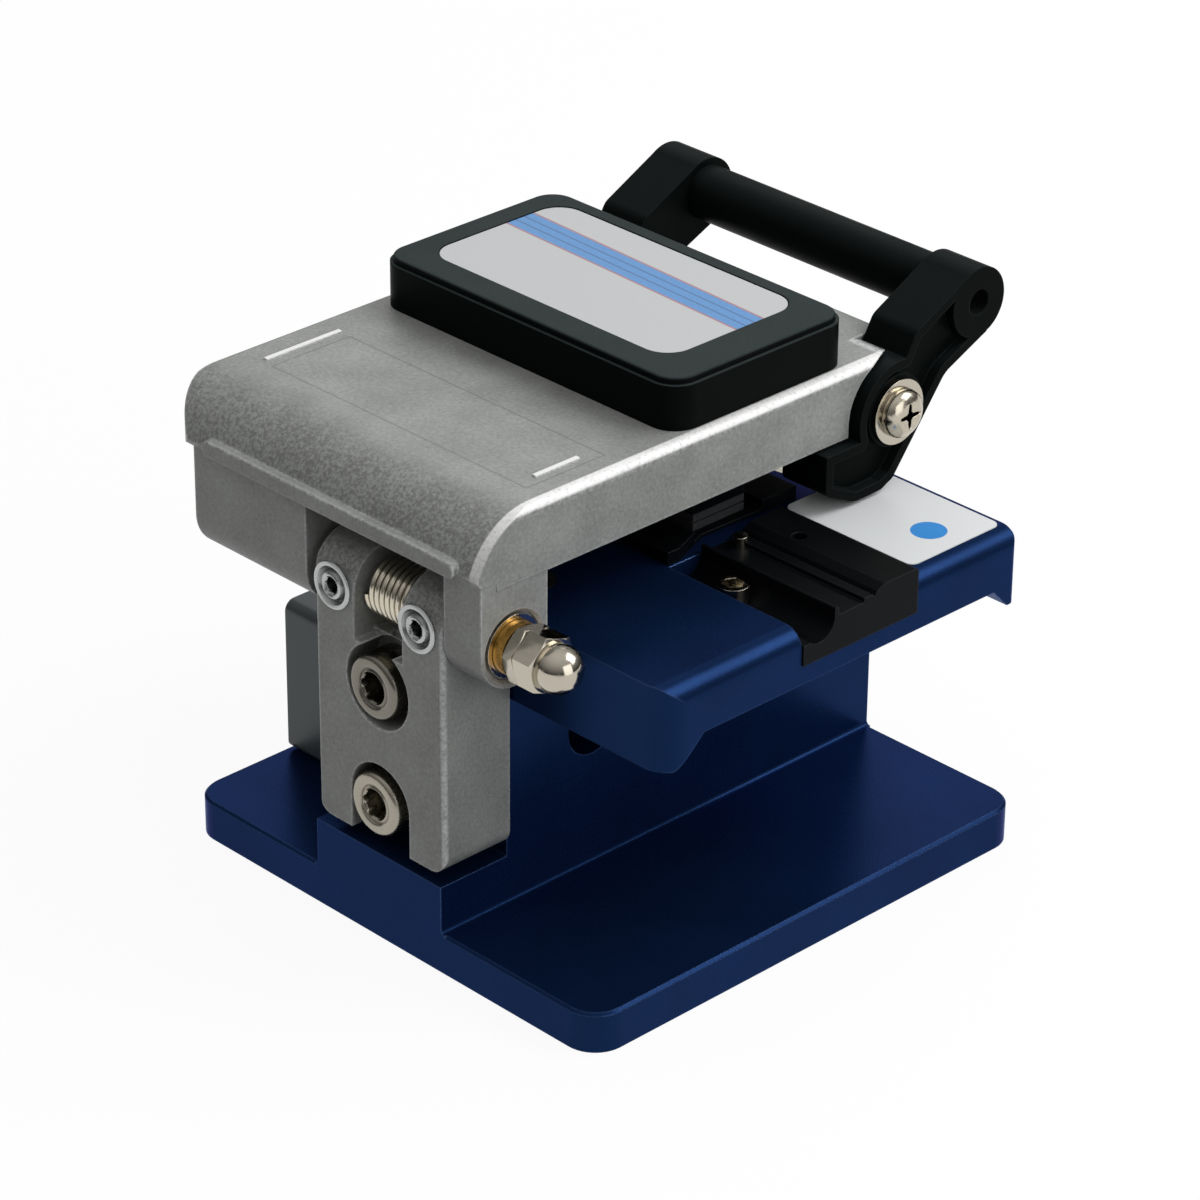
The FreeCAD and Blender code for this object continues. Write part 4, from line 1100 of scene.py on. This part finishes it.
def moulded_plastic(name, colour, top_sheen):
    """Black plastic from a spark-eroded mould: satin, fine even grain, with a painted sheen greying
    the upward faces.
    """
    material, tree, shader, place = new_finish(name, colour, 0.0, 0.40)
    shader.inputs["Specular IOR Level"].default_value = 0.02
    # Spark erosion leaves pits of about 0.08 mm, drawn at 0.25 mm to show.
    grain = add_node(
        tree,
        "ShaderNodeTexNoise",
        {"Vector": place, "Scale": per_mm(0.25), "Detail": 3.0, "Roughness": 0.6},
    ).outputs["Fac"]
    flow = add_node(
        tree,
        "ShaderNodeTexNoise",
        {"Vector": place, "Scale": per_mm(8.0), "Detail": 2.0},
    ).outputs["Fac"]
    vary_roughness(tree, shader, flow, 0.34, 0.48, 0.3, 0.7)
    # Faces that look up are painted greyer in the grain, a painted sheen; edges get a painted
    # highlight.
    face = add_node(tree, "ShaderNodeTexCoord").outputs["Normal"]
    upward = add_node(tree, "ShaderNodeSeparateXYZ", {"Vector": face}).outputs["Z"]
    level = add_node(
        tree,
        "ShaderNodeMapRange",
        {"Value": upward, "From Min": 0.35, "From Max": 0.98},
    ).outputs["Result"]
    specks = add_node(
        tree,
        "ShaderNodeMapRange",
        {"Value": grain, "From Min": 0.3, "From Max": 0.7, "To Min": 0.78, "To Max": 1.22},
    ).outputs["Result"]
    top_sheen_mask = add_node(
        tree, "ShaderNodeMath", {0: level, 1: specks}, operation="MULTIPLY"
    ).outputs[0]
    film = add_node(
        tree,
        "ShaderNodeMix",
        {0: top_sheen_mask, 6: (*colour, 1), 7: (*scaled(colour, top_sheen), 1)},
        data_type="RGBA",
    ).outputs[2]
    rim_highlight = add_node(
        tree, "ShaderNodeMapRange", {"Value": edge_mask(tree, 0.2), "To Max": 0.5}
    ).outputs["Result"]
    highlit = add_node(
        tree,
        "ShaderNodeMix",
        {0: rim_highlight, 6: film, 7: (*scaled(colour, 9.0), 1)},
        data_type="RGBA",
    )
    tree.links.new(highlit.outputs[2], shader.inputs["Base Color"])
    relief(tree, shader, 0.20, 0.18, 0.02, grain)
    return material


def printed_label(prints):
    """White polyester film with one plain printed band across it, laid on slightly turned."""
    material, tree, shader, place = new_finish("PrintedLabelFilm", prints.film, 0.0, 0.42)
    low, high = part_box("cap_label")
    half = prints.band_width / 2
    middle = Vector(((low.x + high.x) / 2, low.y + prints.band_inset + half, 0.0))
    turned = add_node(
        tree,
        "ShaderNodeVectorRotate",
        {"Vector": place, "Center": middle, "Angle": prints.band_turn},
        rotation_type="Z_AXIS",
    ).outputs["Vector"]
    along = add_node(tree, "ShaderNodeSeparateXYZ", {"Vector": turned}).outputs["Y"]
    offset = add_node(
        tree, "ShaderNodeMath", {0: along, 1: middle.y}, operation="SUBTRACT"
    ).outputs[0]
    away = add_node(tree, "ShaderNodeMath", {0: offset}, operation="ABSOLUTE").outputs[0]
    # Printed edges are about 0.05 mm soft; the fine edge line is 0.25 mm wide.
    band = add_node(
        tree,
        "ShaderNodeMapRange",
        {
            "Value": away,
            "From Min": half - 0.05 * MM,
            "From Max": half,
            "To Min": 1.0,
            "To Max": 0.0,
        },
    ).outputs["Result"]
    line = add_node(
        tree,
        "ShaderNodeMapRange",
        {
            "Value": away,
            "From Min": half + 0.2 * MM,
            "From Max": half + 0.25 * MM,
            "To Min": 1.0,
            "To Max": 0.0,
        },
    ).outputs["Result"]
    # Two darker hairlines run inside the band, a sixth of its width from its middle.
    inner = add_node(
        tree, "ShaderNodeMath", {0: away, 1: prints.band_width / 6}, operation="SUBTRACT"
    ).outputs[0]
    inner = add_node(tree, "ShaderNodeMath", {0: inner}, operation="ABSOLUTE").outputs[0]
    hair = add_node(
        tree,
        "ShaderNodeMapRange",
        {
            "Value": inner,
            "From Min": 0.08 * MM,
            "From Max": 0.14 * MM,
            "To Min": 0.6,
            "To Max": 0.0,
        },
    ).outputs["Result"]
    # Halftone of the print: a slight mottle of the ink at 0.3 mm.
    ink = add_node(
        tree,
        "ShaderNodeTexNoise",
        {"Vector": place, "Scale": per_mm(0.3), "Detail": 2.0},
    ).outputs["Fac"]
    mottle = add_node(
        tree,
        "ShaderNodeMapRange",
        {"Value": ink, "From Min": 0.3, "From Max": 0.7},
    ).outputs["Result"]
    mottled = add_node(
        tree,
        "ShaderNodeMix",
        {0: mottle, 6: (*scaled(prints.band, 0.9), 1), 7: (*scaled(prints.band, 1.1), 1)},
        data_type="RGBA",
    ).outputs[2]
    inked = add_node(
        tree,
        "ShaderNodeMix",
        {0: hair, 6: mottled, 7: (*scaled(prints.band, 0.30), 1)},
        data_type="RGBA",
    ).outputs[2]
    film = add_node(
        tree,
        "ShaderNodeMix",
        {0: ink, 6: (*scaled(prints.film, 0.96), 1), 7: (*scaled(prints.film, 1.04), 1)},
        data_type="RGBA",
    ).outputs[2]
    edged = add_node(
        tree,
        "ShaderNodeMix",
        {0: line, 6: film, 7: (*prints.band_edge, 1)},
        data_type="RGBA",
    ).outputs[2]
    printed = add_node(
        tree, "ShaderNodeMix", {0: band, 6: edged, 7: inked}, data_type="RGBA"
    ).outputs[2]
    tree.links.new(printed, shader.inputs["Base Color"])
    return material


def disc_label(prints):
    """White polyester film with one plain printed disc near its front corner."""
    # The table's film is the cap's film painted 1.42 times lighter, as painted light.
    film = scaled(prints.film, 1.42)
    material, tree, shader, place = new_finish("PrintedDiscFilm", film, 0.0, 0.42)
    low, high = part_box("table_label")
    middle = Vector((low.x + prints.disc_inset[0], low.y + prints.disc_inset[1], high.z))
    offset = add_node(
        tree, "ShaderNodeVectorMath", {0: place, 1: middle}, operation="SUBTRACT"
    )
    flat = add_node(
        tree,
        "ShaderNodeVectorMath",
        {0: offset.outputs["Vector"], 1: (1.0, 1.0, 0.0)},
        operation="MULTIPLY",
    )
    away = add_node(
        tree, "ShaderNodeVectorMath", {0: flat.outputs["Vector"]}, operation="LENGTH"
    ).outputs["Value"]
    radius = prints.disc_width / 2
    inside = add_node(
        tree,
        "ShaderNodeMapRange",
        {
            "Value": away,
            "From Min": radius - 0.06 * MM,
            "From Max": radius,
            "To Min": 1.0,
            "To Max": 0.0,
        },
    ).outputs["Result"]
    coat = add_node(
        tree,
        "ShaderNodeMix",
        {0: inside, 6: (*film, 1), 7: (*prints.disc, 1)},
        data_type="RGBA",
    ).outputs[2]
    tree.links.new(coat, shader.inputs["Base Color"])
    return material


class CLEAVER_OT_bail(bpy.types.Operator):
    """Moulded bail arms and bar"""

    bl_idname = "cleaver.bail"
    bl_label = "Bail"

    def execute(self, context):
        look = context.scene.cleaver_finishes
        nylon = moulded_plastic("BlackMouldedNylon", look.plastic, 2.6)
        dress(nylon, "bail_arm_left", "bail_arm_right", "bail_bar")
        return {"FINISHED"}


class CLEAVER_OT_blade(bpy.types.Operator):
    """Cleaving wheel and its axle"""

    bl_idname = "cleaver.blade"
    bl_label = "Cleaving wheel"

    def execute(self, context):
        # Tungsten carbide, ground on its faces: dark steel grey with rings round the axle.
        carbide, tree, shader, place = new_finish(
            "GroundTungstenCarbide", linear("#8a8b8c"), 1.0, 0.22
        )
        low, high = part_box("blade_wheel")
        centre = add_node(
            tree,
            "ShaderNodeMapping",
            {"Vector": place, "Location": tuple(-(low + high) / 2)},
        )
        rings = add_node(
            tree,
            "ShaderNodeTexWave",
            {"Vector": centre.outputs["Vector"], "Scale": per_mm(3.0), "Distortion": 0.6},
            wave_type="RINGS",
            rings_direction="X",
        )
        vary_roughness(tree, shader, rings.outputs["Fac"], 0.16, 0.3)
        bump = add_node(
            tree,
            "ShaderNodeBump",
            {"Strength": 0.12, "Distance": 0.005 * MM, "Height": rings.outputs["Fac"]},
        )
        tree.links.new(bump.outputs["Normal"], shader.inputs["Normal"])
        dress(carbide, "blade_wheel", "blade_axle")
        return {"FINISHED"}


# ---------------------------------------------------------------- stage


class CLEAVER_OT_stage(bpy.types.Operator):
    """Camera, softboxes, light tent and floor"""

    bl_idname = "cleaver.stage"
    bl_label = "Camera and studio"

    def execute(self, context):
        scene = context.scene
        stage = scene.cleaver_stage
        lens = bpy.data.cameras.new("Camera")
        lens.lens = stage.lens
        lens.sensor_width = 36
        lens.clip_start = 0.02
        camera = bpy.data.objects.new("Camera", lens)
        scene.collection.objects.link(camera)
        back = Vector(
            (
                math.sin(stage.azimuth) * math.cos(stage.elevation),
                -math.cos(stage.azimuth) * math.cos(stage.elevation),
                math.sin(stage.elevation),
            )
        )
        turn = back.to_track_quat("Z", "Y").to_matrix() @ Matrix.Rotation(stage.roll, 3, "Z")
        camera.matrix_world = Matrix.Translation(Vector(stage.camera_place)) @ turn.to_4x4()
        scene.camera = camera
        for name, place, size, share in (
            ("KeySoftbox", (-0.20, -0.24, 0.34), 0.26, 1.0),
            ("SideSoftbox", (-0.42, 0.02, 0.17), 0.30, 0.5),
            ("FillSoftbox", (0.30, -0.26, 0.30), 0.30, 0.25),
        ):
            softbox(scene, name, place, size, stage.key_power * share)
        light_tent(scene, stage)
        floor = floor_sheet(CAD_BOX[0].z - 0.02 * MM)
        scene.collection.objects.link(floor)
        scene.view_settings.view_transform = "Standard"
        return {"FINISHED"}


def softbox(scene, name, place, size, power):
    """A square area lamp aimed at the middle of the cleaver."""
    lamp = bpy.data.lights.new(name, "AREA")
    lamp.shape = "SQUARE"
    lamp.size = size
    lamp.energy = power
    holder = bpy.data.objects.new(name, lamp)
    aim = Vector((0.0, 0.0, 0.03)) - Vector(place)
    holder.matrix_world = (
        Matrix.Translation(Vector(place)) @ aim.to_track_quat("-Z", "Y").to_matrix().to_4x4()
    )
    scene.collection.objects.link(holder)


def light_tent(scene, stage):
    """White to the camera; to all other rays a tent, brighter overhead than at its foot."""
    world = bpy.data.worlds.new("LightTent")
    world.use_nodes = True
    tree = world.node_tree
    tree.nodes.clear()
    way = add_node(tree, "ShaderNodeTexCoord").outputs["Generated"]
    height = add_node(tree, "ShaderNodeSeparateXYZ", {"Vector": way}).outputs["Z"]
    glow = add_node(
        tree,
        "ShaderNodeMapRange",
        {"Value": height, "To Min": stage.sky * 0.05, "To Max": stage.sky * 1.95},
    ).outputs["Result"]
    white = (1, 1, 1, 1)
    tent = add_node(tree, "ShaderNodeBackground", {"Color": white, "Strength": glow})
    sheet = add_node(tree, "ShaderNodeBackground", {"Color": white, "Strength": 1.0})
    seen = add_node(tree, "ShaderNodeLightPath").outputs["Is Camera Ray"]
    mix = add_node(
        tree,
        "ShaderNodeMixShader",
        {0: seen, 1: tent.outputs[0], 2: sheet.outputs[0]},
    )
    add_node(tree, "ShaderNodeOutputWorld", {"Surface": mix.outputs[0]})
    scene.world = world


def floor_sheet(height):
    """A wide flat sheet of white paper that the cleaver stands on."""
    mesh = bpy.data.meshes.new("FloorSheet")
    shape = bmesh.new()
    bmesh.ops.create_grid(shape, x_segments=8, y_segments=8, size=3.0)
    bmesh.ops.translate(shape, verts=shape.verts, vec=(0, 0, height))
    shape.to_mesh(mesh)
    shape.free()
    floor = bpy.data.objects.new("FloorSheet", mesh)
    held_down = linear("#6a6a6a")
    material, tree, shader, _ = new_finish("WhitePaperFloor", held_down, 0.0, 0.9)
    shader.inputs["Specular IOR Level"].default_value = 0.0
    ray = add_node(tree, "ShaderNodeLightPath")
    seen = add_node(
        tree,
        "ShaderNodeMath",
        {0: ray.outputs["Is Camera Ray"], 1: ray.outputs["Is Glossy Ray"]},
        operation="MAXIMUM",
    )
    seen = add_node(
        tree,
        "ShaderNodeMath",
        {0: seen.outputs[0], 1: ray.outputs["Is Transmission Ray"]},
        operation="MAXIMUM",
    )
    # Seen directly the sheet is white; the light it sends up is held down, as on a large table.
    paper = add_node(
        tree,
        "ShaderNodeMix",
        {0: seen.outputs[0], 6: (*held_down, 1), 7: (*linear("#ffffff"), 1)},
        data_type="RGBA",
    ).outputs[2]
    tree.links.new(paper, shader.inputs["Base Color"])
    share = add_node(
        tree, "ShaderNodeMath", {0: seen.outputs[0], 1: 0.92}, operation="MULTIPLY"
    )
    white = add_node(
        tree, "ShaderNodeEmission", {"Color": (1, 1, 1, 1), "Strength": 1.0}
    )
    mix = add_node(
        tree,
        "ShaderNodeMixShader",
        {0: share.outputs[0], 1: shader.outputs[0], 2: white.outputs[0]},
    )
    out = next(n for n in tree.nodes if n.type == "OUTPUT_MATERIAL")
    tree.links.new(mix.outputs[0], out.inputs["Surface"])
    mesh.materials.append(material)
    return floor


# ---------------------------------------------------------------- panel and registration


OPERATORS = (
    CLEAVER_OT_castings,
    CLEAVER_OT_blue_parts,
    CLEAVER_OT_carriage,
    CLEAVER_OT_fasteners,
    CLEAVER_OT_clamps,
    CLEAVER_OT_cap,
    CLEAVER_OT_bail,
    CLEAVER_OT_blade,
    CLEAVER_OT_stage,
)


class CLEAVER_PT_looks(bpy.types.Panel):
    """Lists the steps that dress the cleaver"""

    bl_idname = "CLEAVER_PT_looks"
    bl_label = "Fibre cleaver"
    bl_space_type = "VIEW_3D"
    bl_region_type = "UI"
    bl_category = "Cleaver"

    def draw(self, context):
        for step in OPERATORS:
            self.layout.operator(step.bl_idname)
        for group in ("cleaver_finishes", "cleaver_labels", "cleaver_stage"):
            box = self.layout.box()
            settings = getattr(context.scene, group)
            for name in settings.__annotations__:
                box.prop(settings, name)


GROUPS = {
    "cleaver_finishes": CleaverFinishes,
    "cleaver_labels": CleaverLabels,
    "cleaver_stage": CleaverStage,
}


def register():
    for kind in (*GROUPS.values(), *OPERATORS, CLEAVER_PT_looks):
        bpy.utils.register_class(kind)
    for name, kind in GROUPS.items():
        setattr(bpy.types.Scene, name, PointerProperty(type=kind))


def unregister():
    for name in GROUPS:
        delattr(bpy.types.Scene, name)
    for kind in (CLEAVER_PT_looks, *reversed(OPERATORS), *GROUPS.values()):
        bpy.utils.unregister_class(kind)


def main():
    register()
    for step in OPERATORS:
        family, name = step.bl_idname.split(".")
        getattr(getattr(bpy.ops, family), name)()


if __name__ == "__main__":
    main()
